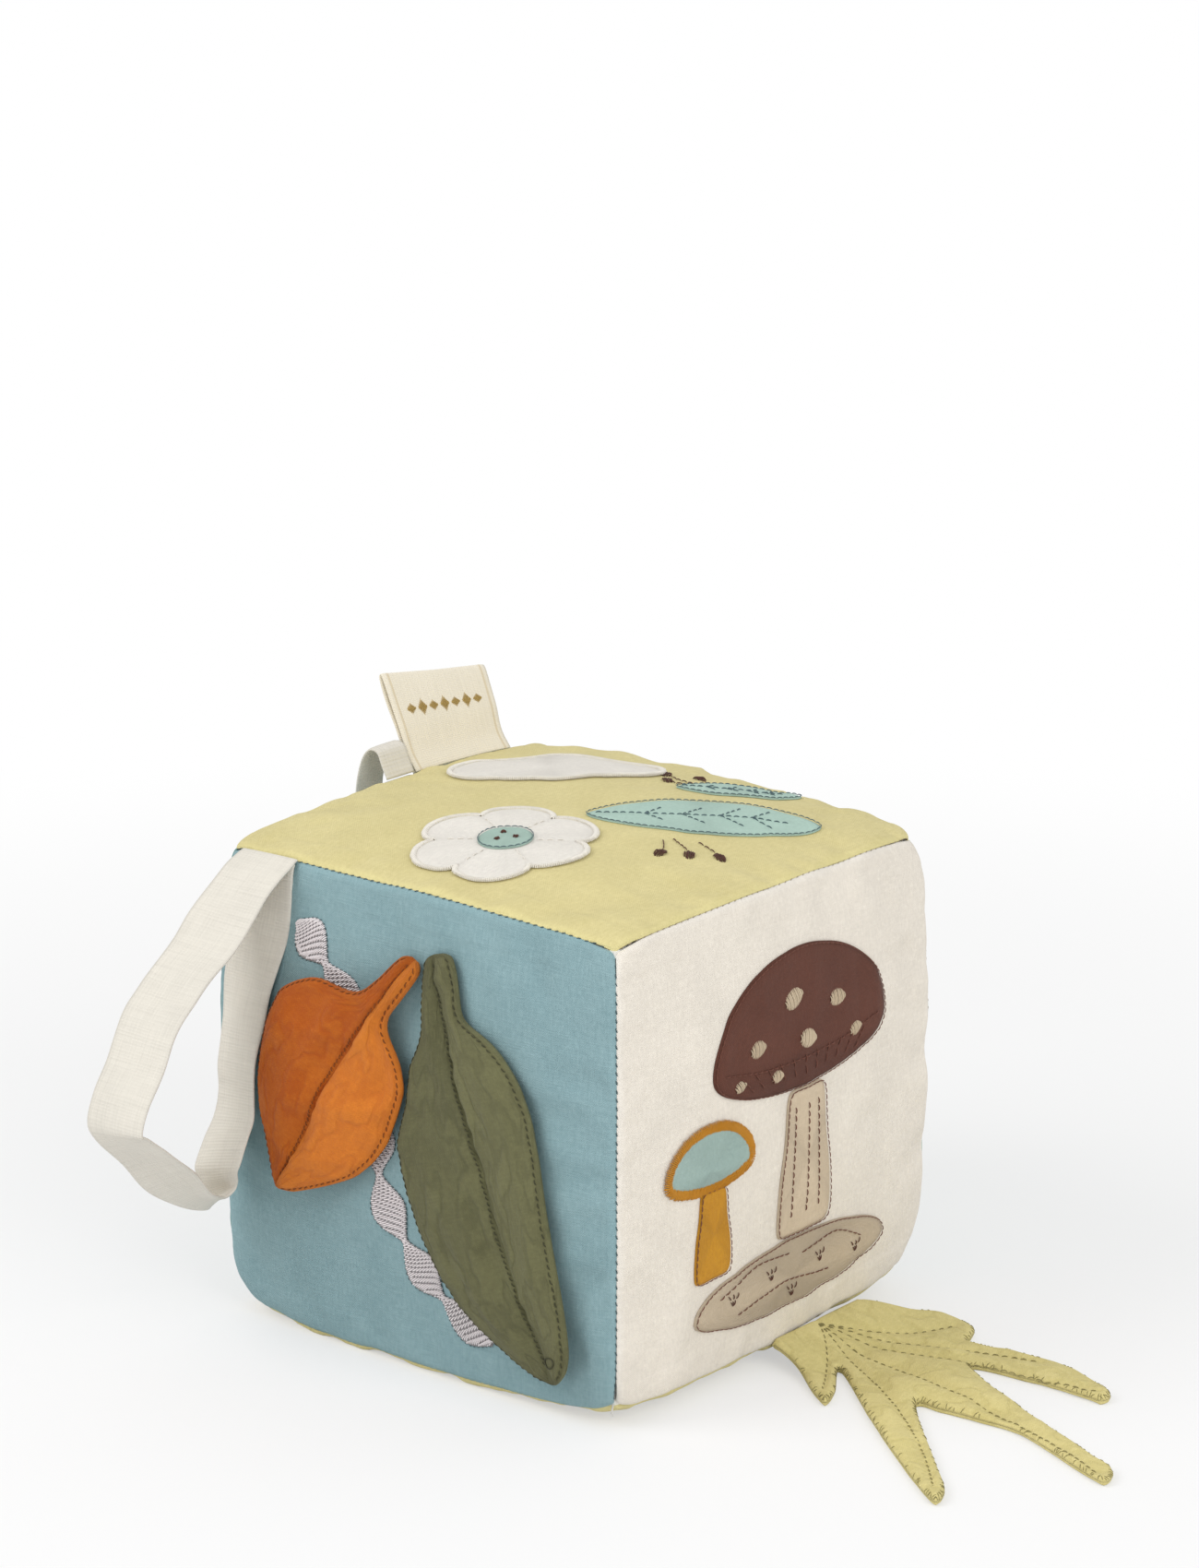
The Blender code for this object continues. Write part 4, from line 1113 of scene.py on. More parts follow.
def patch_places(face, shares, kind, reach, angle, height):
    """Places on a panel inside a picture's outline; reach 1 is on the outline."""
    along, up = PANELS[face][2:]
    size = shares[2] * HALF[2]
    radius = size * polar_outline(kind, angle) * reach
    a = shares[0] + radius * np.cos(angle) / HALF[along]
    b = shares[1] + radius * np.sin(angle) / HALF[up]
    return COVER.points(face, a, b, height)


def patch_normal(face, count):
    """The direction that a panel faces, once for each point."""
    axis, sign = PANELS[face][:2]
    out = np.zeros((count, 3))
    out[:, axis] = sign
    return out


def add_patch(node, face, shares, kind, finish, layer=0, cells=34):
    """A cloth shape sewn on a panel, with a soft raised edge."""
    low = CLEARANCE + layer * (PATCH_CLOTH + CLEARANCE)
    size = shares[2] * HALF[2]

    def place(a, b, inner):
        spread = np.maximum(np.abs(a), np.abs(b))
        angle = np.arctan2(b, a)
        swell = PATCH_CLOTH * (1 - spread**10) + 0.00025 * bell(spread - 0.93, 0.05)
        height = np.where(inner, low - 0.0002, low + swell)
        return patch_places(face, shares, kind, spread, angle, height)

    mesh = cloth_mesh(f"{node}_cloth", place, cells, cells, (2 * size, 2 * size))
    return add_piece(f"{node}_cloth", mesh, finish, "block", [node])


def outline_path(face, shares, kind, reach, height, steps=400):
    """The closed line round a picture, as places and directions."""
    angle = np.linspace(-math.pi, math.pi, steps)
    places = patch_places(face, shares, kind, np.full(steps, reach), angle, height)
    return places, patch_normal(face, steps)


def add_outline(name, face, shares, kind, finish, reach, height):
    """A thin sewn line round a picture."""
    path, out = outline_path(face, shares, kind, reach, height)
    runs = stitch_runs(path, out, 0.0017, 0.0002, lift=0.0001, slant=0.00005, seed=5)
    sew(name, runs, OUTLINE_THREAD, finish)


def add_satin_rim(name, face, shares, kind, finish, width, pitch, height):
    """Close strands of thread that wrap the edge of a picture."""
    middle, out = outline_path(face, shares, kind, 1.0, height)
    middle = resample(middle, pitch)[0]
    ahead = unit(np.roll(middle, -1, 0) - np.roll(middle, 1, 0))
    out = out[:1]
    across = np.cross(np.broadcast_to(out, ahead.shape), ahead)
    random = np.random.default_rng(len(name))
    runs = []
    for point, sideways in zip(middle, across):
        reach = width / 2 * random.uniform(0.86, 1.14)
        shares_across = np.array((-1.0, -0.6, 0.0, 0.6, 1.0))[:, None] * reach
        arch = np.array((-0.00045, 0.00012, 0.00028, 0.00012, -0.00045))[:, None]
        runs.append(point + sideways * shares_across + out * arch)
    sew(name, runs, pitch * 0.95, finish, sides=0)


def add_satin_dots(name, face, centres, finish, pitch):
    """Small round or oval shapes of satin stitch: centre a, b, half width and height, turn."""
    along, up = PANELS[face][2:]
    runs = []
    for a, b, wide, tall, turn, height in centres:
        count = max(int(2 * wide / pitch), 3)
        for number in range(count):
            across = -1 + 2 * (number + 0.5) / count
            reach = tall * math.sqrt(max(1 - across**2, 0.02))
            steps = np.linspace(-1, 1, 5)
            x = np.full(5, across * wide) + 0.15 * pitch * np.sin(number * 2.3)
            y = steps * reach
            turned_x = x * math.cos(turn) - y * math.sin(turn)
            turned_y = x * math.sin(turn) + y * math.cos(turn)
            arch = np.array((-0.0003, 0.00018, 0.00034, 0.00018, -0.0003))
            runs.append(COVER.points(
                face, a + turned_x / HALF[along], b + turned_y / HALF[up], height + arch
            ))
    sew(name, runs, pitch * 0.98, finish, sides=0)


def add_line_stitches(name, face, lines, finish, height, stitch=0.0017):
    """Smooth sewn lines on a panel, each through its list of a and b places."""
    runs = []
    for number, line in enumerate(lines):
        places = curve_through(line, np.linspace(0, 1, 90))
        path = COVER.points(face, places[:, 0], places[:, 1], height)
        runs += stitch_runs(
            path, patch_normal(face, len(path)), stitch, 0.00045, lift=0.00014,
            slant=0.00008, seed=70 + number,
        )
    sew(name, runs, LINE_THREAD, finish)


class FABRICBLOCK_OT_top_pictures(bpy.types.Operator):
    """Daisy, cloud and two leaves sewn on the top panel"""

    bl_idname = "fabric_block.top_pictures"
    bl_label = "Top pictures"

    def execute(self, context):
        chosen = settings()
        white = cotton("white_patch_cotton", chosen.white, slub=0.4)
        mint = cotton("mint_patch_cotton", chosen.mint, slub=0.5)
        rim = thread_finish("cream_satin_thread", shade(chosen.white, 0.97), dark=0.80)
        line = thread_finish("slate_line_thread", shade(chosen.slate, 1.25))
        brown = thread_finish("brown_satin_thread", shade(chosen.brown, 0.85))
        add_patch("top_daisy", "top", DAISY, "daisy", white, cells=48)
        add_patch("top_daisy_middle", "top", DAISY, "disc", mint, 1, 20)
        add_patch("top_cloud", "top", CLOUD, "cloud", white, cells=44)
        add_patch("top_leaf_large", "top", LARGE_SPRIG, "large_sprig", mint)
        add_patch("top_leaf_small", "top", SMALL_SPRIG, "small_sprig", mint)
        for name, shares, kind in (("daisy_rim", DAISY, "daisy"), ("cloud_rim", CLOUD, "cloud")):
            add_satin_rim(
                name, "top", shares, kind, rim, 0.0016, chosen.satin_pitch, 0.0009,
            )
        for name, shares, kind, height in (
            ("large_leaf_outline", LARGE_SPRIG, "large_sprig", 0.0008),
            ("small_leaf_outline", SMALL_SPRIG, "small_sprig", 0.0008),
            ("daisy_middle_outline", DAISY, "disc", 0.0017),
        ):
            add_outline(name, "top", shares, kind, line, 1.0, height)
        veins = []
        for shares in (LARGE_SPRIG, SMALL_SPRIG):
            a, b, size = shares
            lean = PICTURE_TURN
            reach = size * 0.92
            way = (math.cos(lean) * HALF[2] / HALF[0], math.sin(lean) * HALF[2] / HALF[1])
            veins.append([(a + way[0] * t * reach, b + way[1] * t * reach)
                          for t in (-1.0, -0.3, 0.35, 0.8)])
            for t in (-0.55, -0.2, 0.15, 0.45):
                start = (a + way[0] * t * reach, b + way[1] * t * reach)
                for side in (-1, 1):
                    tip = lean + side * math.radians(48)
                    veins.append([start, (
                        start[0] + math.cos(tip) * size * 0.30 * (1 - 0.4 * abs(t)),
                        start[1] + math.sin(tip) * size * 0.30 * (1 - 0.4 * abs(t)),
                    )])
        add_line_stitches("leaf_picture_veins", "top", veins, line, 0.0010)
        petals = []
        for number in range(6):
            angle = math.radians(60 * number + 30)
            inner, outer = DAISY[2] * 0.34, DAISY[2] * 0.66
            petals.append([
                (DAISY[0] + math.cos(angle) * r * HALF[2] / HALF[0],
                 DAISY[1] + math.sin(angle) * r * HALF[2] / HALF[1])
                for r in (inner, (inner + outer) / 2, outer)
            ])
        add_line_stitches("daisy_petal_lines", "top", petals, rim, 0.0010)
        dots = [
            (DAISY[0] + 0.045 * math.cos(t), DAISY[1] + 0.045 * math.sin(t), 0.0008, 0.0009,
             t, 0.0019)
            for t in np.radians((20, 140, 260))
        ]
        berries = [
            (0.66, -0.12, 0.0015, 0.0028, 0.6, 0.0003), (0.74, -0.03, 0.0015, 0.0028, 1.0, 0.0003),
            (0.58, -0.20, 0.0015, 0.0026, 0.2, 0.0003), (-0.02, 0.62, 0.0014, 0.0026, 0.9, 0.0003),
            (-0.09, 0.70, 0.0014, 0.0026, 0.5, 0.0003), (0.02, 0.78, 0.0014, 0.0024, 1.3, 0.0003),
        ]
        add_satin_dots(
            "brown_berries", "top", dots + berries, brown, chosen.satin_pitch
        )
        twigs = [
            [(0.52, -0.04), (0.60, -0.08), (0.66, -0.11)],
            [(0.60, 0.02), (0.68, 0.0), (0.74, -0.02)],
            [(0.50, -0.08), (0.55, -0.14), (0.58, -0.19)],
            [(0.10, 0.62), (0.04, 0.61), (-0.01, 0.62)],
            [(0.08, 0.66), (0.0, 0.67), (-0.08, 0.70)],
            [(0.12, 0.72), (0.06, 0.75), (0.02, 0.77)],
        ]
        add_line_stitches("berry_twigs", "top", twigs, brown, 0.0003)
        return {"FINISHED"}


class FABRICBLOCK_OT_right_picture(bpy.types.Operator):
    """Two toadstools on a low hill, sewn on the right panel"""

    bl_idname = "fabric_block.right_picture"
    bl_label = "Right picture"

    def execute(self, context):
        chosen = settings()
        pieces = (
            ("right_mound", MOUND, "mound", chosen.beige, "beige_applique"),
            ("right_stem", STEM, "stem", shade(chosen.beige, 1.18), "white_applique"),
            ("right_cap", CAP, "cap", chosen.brown, "brown_applique"),
            ("right_small_stem", SMALL_STEM, "stem", chosen.mustard, "mustard_applique"),
            ("right_small_cap", SMALL_CAP, "cap", chosen.haze, "pale_blue_applique"),
        )
        line = thread_finish("umber_line_thread", shade(chosen.brown, 1.5))
        for node, shares, kind, colour, slot in pieces:
            finish = cotton(f"{node}_cotton", colour, slub=0.8)
            add_patch(node, "right", shares, kind, finish, cells=44)
            if node != "right_small_cap":
                add_outline(f"{node}_outline", "right", shares, kind, line, 0.985, 0.0010)
        rim = thread_finish("mustard_satin_thread", chosen.mustard, dark=0.75)
        add_satin_rim(
            "small_cap_rim", "right", SMALL_CAP, "cap", rim, 0.0030, chosen.satin_pitch,
            0.0009,
        )
        beige = thread_finish("beige_satin_thread", shade(chosen.beige, 1.05), dark=0.8)
        spots = [
            (-0.22, 0.37, 0.0030, 0.0026, 0.1, 0.0010), (0.02, 0.52, 0.0036, 0.0031, 0.3, 0.0010),
            (0.10, 0.33, 0.0032, 0.0029, -0.2, 0.0010), (0.30, 0.45, 0.0030, 0.0026, 0.0, 0.0010),
            (0.42, 0.28, 0.0024, 0.0021, 0.2, 0.0010), (-0.10, 0.22, 0.0022, 0.0019, 0.0, 0.0010),
            (-0.33, 0.24, 0.0019, 0.0017, 0.4, 0.0010),
        ]
        add_satin_dots("cap_spots", "right", spots, beige, chosen.satin_pitch)
        self.draw_lines(line, thread_finish("brown_line_thread", chosen.brown))
        return {"FINISHED"}

    @staticmethod
    def draw_lines(pale, dark):
        """Sewn lines: gills under the caps, folds of the stems, tufts on the hill."""
        gills = [
            [(CAP[0] + x, CAP[1] - 0.03), (CAP[0] + x * 0.82, CAP[1] - 0.13 + 0.06 * abs(x))]
            for x in np.linspace(-0.40, 0.40, 11)
        ]
        brim = [
            [(CAP[0] - 0.50, CAP[1] + 0.01), (CAP[0] - 0.25, CAP[1] - 0.035),
             (CAP[0], CAP[1] - 0.045), (CAP[0] + 0.25, CAP[1] - 0.035),
             (CAP[0] + 0.50, CAP[1] + 0.01)]
        ]
        folds = [
            [(STEM[0] + x, 0.05), (STEM[0] + x * 1.1, -0.18), (STEM[0] + x * 1.25, -0.44)]
            for x in (-0.08, 0.0, 0.07)
        ]
        hill = [
            [(-0.42, -0.66), (-0.20, -0.58), (0.02, -0.60)], [(0.10, -0.62), (0.32, -0.60),
             (0.50, -0.68)], [(-0.30, -0.76), (0.0, -0.72), (0.30, -0.76)],
        ]
        tufts = []
        for x, y in ((-0.34, -0.71), (-0.10, -0.68), (0.22, -0.70), (0.46, -0.74), (0.05, -0.80)):
            tufts += [[(x, y), (x + lean * 0.6, y + 0.035), (x + lean, y + 0.06)]
                      for lean in (-0.035, 0.0, 0.035)]
        add_line_stitches("stem_and_hill_lines", "right", folds + hill, pale, 0.0011)
        add_line_stitches("cap_gill_lines", "right", gills + brim, pale, 0.0011)
        add_line_stitches("hill_tufts", "right", tufts, dark, 0.0011, stitch=0.0013)


def vine_place(share, side, height):
    """Places on the vine: share runs along it, side from -1 to 1 across it."""
    run = curve_through(VINE_SHARES, clamped(share))
    ahead = curve_through(VINE_SHARES, clamped(share + 0.01))
    behind = curve_through(VINE_SHARES, clamped(share - 0.01))
    way = (ahead - behind) * np.array((HALF[0], HALF[2]))
    way /= np.linalg.norm(way, axis=1, keepdims=True)
    swell = np.abs(np.sin(math.pi * share * VINE_LEAVES)) ** 1.5
    wide = (VINE_WIDTH / 2 + VINE_LEAF * swell) * side
    a = run[:, 0] - way[:, 1] * wide / HALF[0]
    b = run[:, 1] + way[:, 0] * wide / HALF[2]
    return COVER.points("front", a, b, height), wide


class FABRICBLOCK_OT_vine(bpy.types.Operator):
    """Vine of satin stitch on the front panel, under the leaves"""

    bl_idname = "fabric_block.vine"
    bl_label = "Embroidered vine"

    def execute(self, context):
        chosen = settings()

        def place(a, b, inner):
            height = np.where(inner, 0.0001, 0.0004)
            return vine_place((1 + a) / 2, b * 0.97, height)[0]

        # Painted shade: under the strands lies a sheet of the satin colour made darker, standing
        # for the shade between the strands
        mesh = cloth_mesh("front_vine_ground", place, 260, 10, (0.17, 0.012))
        ground = cotton("vine_ground", shade(chosen.satin, 0.42))
        add_piece("front_vine_ground", mesh, ground, "block", ["front_vine"])
        middle = vine_place(np.linspace(0, 1, 600), np.zeros(600), 0.0005)[0]
        total = resample(middle, 0.001)[1]
        count = int(total / chosen.satin_pitch)
        random = np.random.default_rng(8)
        runs = []
        for number in range(count):
            share = (number + 0.5) / count
            swell = abs(math.sin(math.pi * share * VINE_LEAVES)) ** 1.5
            half = VINE_WIDTH / 2 + VINE_LEAF * swell
            cuts = [-1.0]
            piece = 0.0034 / half
            cuts += list(np.arange(-1 + piece * (0.35 + 0.33 * (number % 3)), 0.8, piece))
            cuts.append(1.0 + random.uniform(-0.03, 0.03))
            for low, high in zip(cuts, cuts[1:]):
                if high - low < 0.1:
                    continue
                sides = np.linspace(low, high - 0.00022 / half, 5)
                slant = (sides + 1) * 0.0007 / total
                arch = np.array((0.0001, 0.00062, 0.00074, 0.00062, 0.0001))
                runs.append(vine_place(share + slant, sides, arch)[0])
        strands = thread_finish("vine_satin_thread", chosen.satin, dark=0.88)
        sew("front_vine_strands", runs, chosen.satin_pitch * 0.92, strands, sides=0)
        self.edge_line(chosen)
        return {"FINISHED"}

    @staticmethod
    def edge_line(chosen):
        """The dark thread that shows along both edges of the vine."""
        runs = []
        shares = np.linspace(0.003, 0.997, 900)
        for side in (-1.0, 1.0):
            path = vine_place(shares, np.full(900, side * 1.02), 0.00025)[0]
            runs += stitch_runs(
                path, patch_normal("front", 900), 0.0008, 0.0007, lift=0.0001,
                slant=0.00012, seed=12,
            )
        finish = thread_finish("vine_edge_thread", shade(chosen.slate, 0.9))
        sew("front_vine_edge", runs, VINE_EDGE_THREAD, finish, sides=0)


class Leaf:
    """A hanging leaf: two puffed cloths, sewn together round the edge and along the rib."""

    ROWS = 180
    COLUMNS = 72
    ROUND = 0.0013
    STITCH_INSETS = (0.0007, 0.0011)
    PUFF = 0.0014
    EDGE_GROOVE = 0.00050
    RIB_GROOVE = 0.00095
    RIB_FOLD = 0.0007
    EDGE_FOLDS = 0.00070
    RIB_FOLDS = 0.00055
    BROAD_CREASES = 0.00080
    SHARP_CREASES = 0.00070
    LONG_CREASES = 0.00070
    BACK_SHARE = 0.35

    def __init__(self, measures, seed):
        self.measures = measures
        self.grain = Grain(seed)
        table = np.array(measures["stations"])
        fine = np.linspace(0, 1, 600)
        kernel = np.hanning(57)
        kernel /= kernel.sum()
        self.fine = fine
        self.columns = []
        for column in (1, 2, 3):
            values = np.interp(fine, table[:, 0], table[:, column])
            padded = np.pad(values, 28, mode="reflect", reflect_type="odd")
            self.columns.append(np.convolve(padded, kernel, "valid"))

    def flat(self, along, across):
        """Half width to the edge, the sideways place and the place along the leaf."""
        leaf = self.measures
        left, middle, right = (np.interp(along, self.fine, c) for c in self.columns)
        edge = np.where(across < 0, left, right)
        reach = (edge - middle) * leaf["half_width"]
        root_gap = clamped(1 - along * leaf["length"] / 0.0026)
        tip_gap = clamped(1 - (1 - along) * leaf["length"] / 0.0034)
        ends = np.sqrt(np.maximum(1 - root_gap**2.4, 0.0)) * np.sqrt(
            np.maximum(1 - tip_gap**2, 0.0))
        reach = reach * np.maximum(ends, 0.03)
        return reach, middle * leaf["half_width"] + reach * np.abs(across), edge - middle

    def points(self, along, across, height):
        """Places in the leaf: height is measured from the middle of its two cloths."""
        leaf = self.measures
        hang = np.array((leaf["hang"][0], 0, leaf["hang"][1]))
        hang /= np.linalg.norm(hang)
        sideways = np.array((-hang[2], 0, hang[0]))
        offset, spread = self.flat(along, across)[1:]
        root = np.array((leaf["root"][0], 0, leaf["root"][1]))
        places = root + np.outer(along * leaf["length"], hang) + np.outer(offset, sideways)
        ease = 1 - (1 - np.minimum(along / 0.30, 1.0)) ** 2
        droop = np.where(across > 0, leaf["droops"][1], leaf["droops"][0])
        proud = leaf["root_proud"]
        proud = proud + (leaf["proud"] - proud - droop * (spread * across) ** 2) * ease
        places[:, 1] = -HALF[1] - proud - height
        return places

    def cloth_height(self, along, across, front):
        """How far a cloth's outer face stands off the middle of the leaf."""
        leaf = self.measures
        reach = self.flat(along, across)[0]
        near = (1 - np.abs(across)) * np.abs(reach)
        ends = np.minimum(along, 1 - along) * leaf["length"]
        near = np.minimum(near, ends)
        rounding = np.sqrt(1 - (1 - np.minimum(near / self.ROUND, 1)) ** 2)
        rib = np.abs(across * reach)
        run = along * leaf["length"]
        puff = self.PUFF * clamped(near / 0.011) ** 0.7 * (1 - bell(rib, 0.0060))
        inset = np.where(across < 0, *self.STITCH_INSETS)
        edge_groove = self.EDGE_GROOVE * bell(near - inset, 0.0005)
        rib_groove = self.RIB_GROOVE * bell(rib, 0.0010) * clamped(near / 0.002)
        fold = self.RIB_FOLD * np.exp(-rib / 0.0050) * clamped(near / 0.004)
        puff += np.where(across > 0, fold, 0.0)
        level = np.full(len(along), 4.0 if front else 9.0)
        folds = self.grain(run / 0.0034, near / 0.0080, level + np.sign(across))
        creases = self.grain(run / 0.017, across * 1.4, level + 3)
        sharp = 1 - 2 * np.abs(self.grain(run / 0.021 + across * 0.8, across * 0.9, level + 8))
        slack = self.EDGE_FOLDS * folds * np.exp(-near / 0.0045) * clamped(near / 0.0020)
        rib_folds = self.grain(run / 0.0032, rib / 0.007, level + 5)
        slack += self.RIB_FOLDS * rib_folds * np.exp(-rib / 0.004)
        long_creases = self.grain(
            run / 0.017 + rib / 0.012, across * np.abs(reach) / 0.0046, level + 11
        )
        bends = self.BROAD_CREASES * creases + self.SHARP_CREASES * sharp
        slack += (bends + self.LONG_CREASES * long_creases) * clamped(near / 0.006)
        loose = puff + slack
        if not front:
            loose *= self.BACK_SHARE
        height = rounding * LEAF_STACK / 2 + loose - edge_groove - rib_groove
        return np.maximum(height, rounding * 0.0006)

    def area(self):
        """Area of the leaf's flat cloth."""
        along = np.linspace(0, 1, 600)
        sides = [np.abs(self.flat(along, np.full(600, side))[0]) for side in (-1.0, 1.0)]
        return float(np.mean(sides[0] + sides[1]) * self.measures["length"])

    def place(self, front):
        """The place function of one cloth's mesh."""

        def made(a, b, inner):
            along = (1 + eased(a)) / 2
            across = np.sign(b) * (0.4 * np.abs(b) + 0.3 * (1 - np.cos(math.pi * b)))
            outer = self.cloth_height(along, across, front)
            height = np.where(inner, np.minimum(outer * 0.25, INNER_FACE), outer)
            return self.points(along, across, height if front else -height)

        return made

    def line(self, along, across, front, lift=0.0001):
        """A line on one cloth's face, as places and directions."""
        height = self.cloth_height(along, across, front) + lift
        places = self.points(along, across, height if front else -height)
        out = np.zeros((len(along), 3))
        out[:, 1] = -1 if front else 1
        return places, out

    def edge_lines(self, front):
        """The stitched line a little inside both edges."""
        along = np.linspace(0.012, 0.988, 700)
        lines = []
        for side, inset in zip((-1.0, 1.0), self.STITCH_INSETS):
            reach = self.flat(along, np.full(700, side))[0]
            across = side * np.clip(1 - inset / np.maximum(np.abs(reach), 1e-5), 0.0, 1)
            keep = np.abs(reach) > inset * 1.25
            lines.append(self.line(along[keep], across[keep], front))
        return lines


def add_leaf(measures, body, finish, thread, chosen, seed):
    """Both cloths of a leaf and their stitching."""
    leaf = Leaf(measures, seed)
    name = measures["name"]
    size = (measures["length"], 2 * measures["half_width"])
    for side, front in (("front", True), ("back", False)):
        mesh = cloth_mesh(f"{name}_{side}_cloth", leaf.place(front), Leaf.ROWS, Leaf.COLUMNS, size)
        piece = add_piece(
            f"{name}_{side}_cloth", mesh, finish, body, [f"{name}_{side}"]
        )
        leaf.area()
        runs = []
        for number, (path, out) in enumerate(leaf.edge_lines(front)):
            runs += stitch_runs(
                path, out, chosen.stitch * 0.9, chosen.stitch_gap * 0.5, slant=0.00022,
                seed=seed + number,
            )
        along = np.linspace(0.02, 0.955, 500)
        path, out = leaf.line(along, np.full(500, -0.036), front, 0.0003)
        runs += stitch_runs(
            path, out, chosen.stitch * 0.55, chosen.stitch_gap * 0.75, slant=0.00034,
            seed=seed + 5,
        )
        sew(f"{name}_{side}_stitches", runs, chosen.thread, thread, body)
    return leaf


class FABRICBLOCK_OT_orange_leaf(bpy.types.Operator):
    """Orange leaf that hangs by its stem on the front panel"""

    bl_idname = "fabric_block.orange_leaf"
    bl_label = "Orange leaf"

    def execute(self, context):
        chosen = settings()
        # Painted shade: the left half takes the darker shaded orange and the right half a lighter
        # orange, as if lit from the right; creases are shaded in the colour too
        finish = cotton(
            "orange_leaf_cotton", shade(chosen.orange, 1.10), slub=0.7, crease_bump_and_shade=0.7,
            second=chosen.orange_shaded_half,
        )
        thread = thread_finish("orange_leaf_thread", shade(chosen.orange, 0.34))
        add_leaf(ORANGE, "orange_leaf", finish, thread, chosen, 31)
        return {"FINISHED"}


class FABRICBLOCK_OT_green_leaf(bpy.types.Operator):
    """Long green leaf that hangs by its stem on the front panel"""

    bl_idname = "fabric_block.green_leaf"
    bl_label = "Green leaf"

    def execute(self, context):
        chosen = settings()
        # Painted shade: the left half is the green made darker, standing for the half turned away
        # from the light; creases are shaded in the colour too
        finish = cotton(
            "green_leaf_cotton", shade(chosen.green, 1.02), slub=1.0, crease_bump_and_shade=0.8,
            second=shade(chosen.green, 0.84),
        )
        thread = thread_finish("green_leaf_thread", shade(chosen.green, 0.42))
        leaf = add_leaf(GREEN, "green_leaf", finish, thread, chosen, 57)
        along = np.full(40, 0.945) + 0.012 * np.sin(np.linspace(0, 2 * math.pi, 40))
        across = 0.26 * np.cos(np.linspace(0, 2 * math.pi, 40)) + 0.30
        path = leaf.line(along, across, True, 0.0002)[0]
        sew("green_leaf_tip_loop", [path], chosen.thread * 1.3, thread, "green_leaf")
        return {"FINISHED"}


def fan_outline(steps=11):
    """The webbed leaf's smooth outline in metres, once round from its sewn edge."""
    points = np.array(FAN_SHARES) * np.array((FAN_REACH, FAN_SPREAD))
    shares = np.linspace(0, 1, steps * (len(points) - 1) + 1)
    round_it = curve_through(points, shares)
    sewn = np.linspace(round_it[-1], round_it[0], 24)[1:-1]
    return np.concatenate((round_it, sewn)), len(round_it)


def line_distance(places, line):
    """The distance of each place from a chain of points."""
    nearest = np.full(len(places), 1.0)
    for start, end in zip(line, line[1:]):
        way = end - start
        share = clamped((places - start) @ way / max(way @ way, 1e-12))
        gap = np.linalg.norm(places - start - share[:, None] * way, axis=1)
        nearest = np.minimum(nearest, gap)
    return nearest


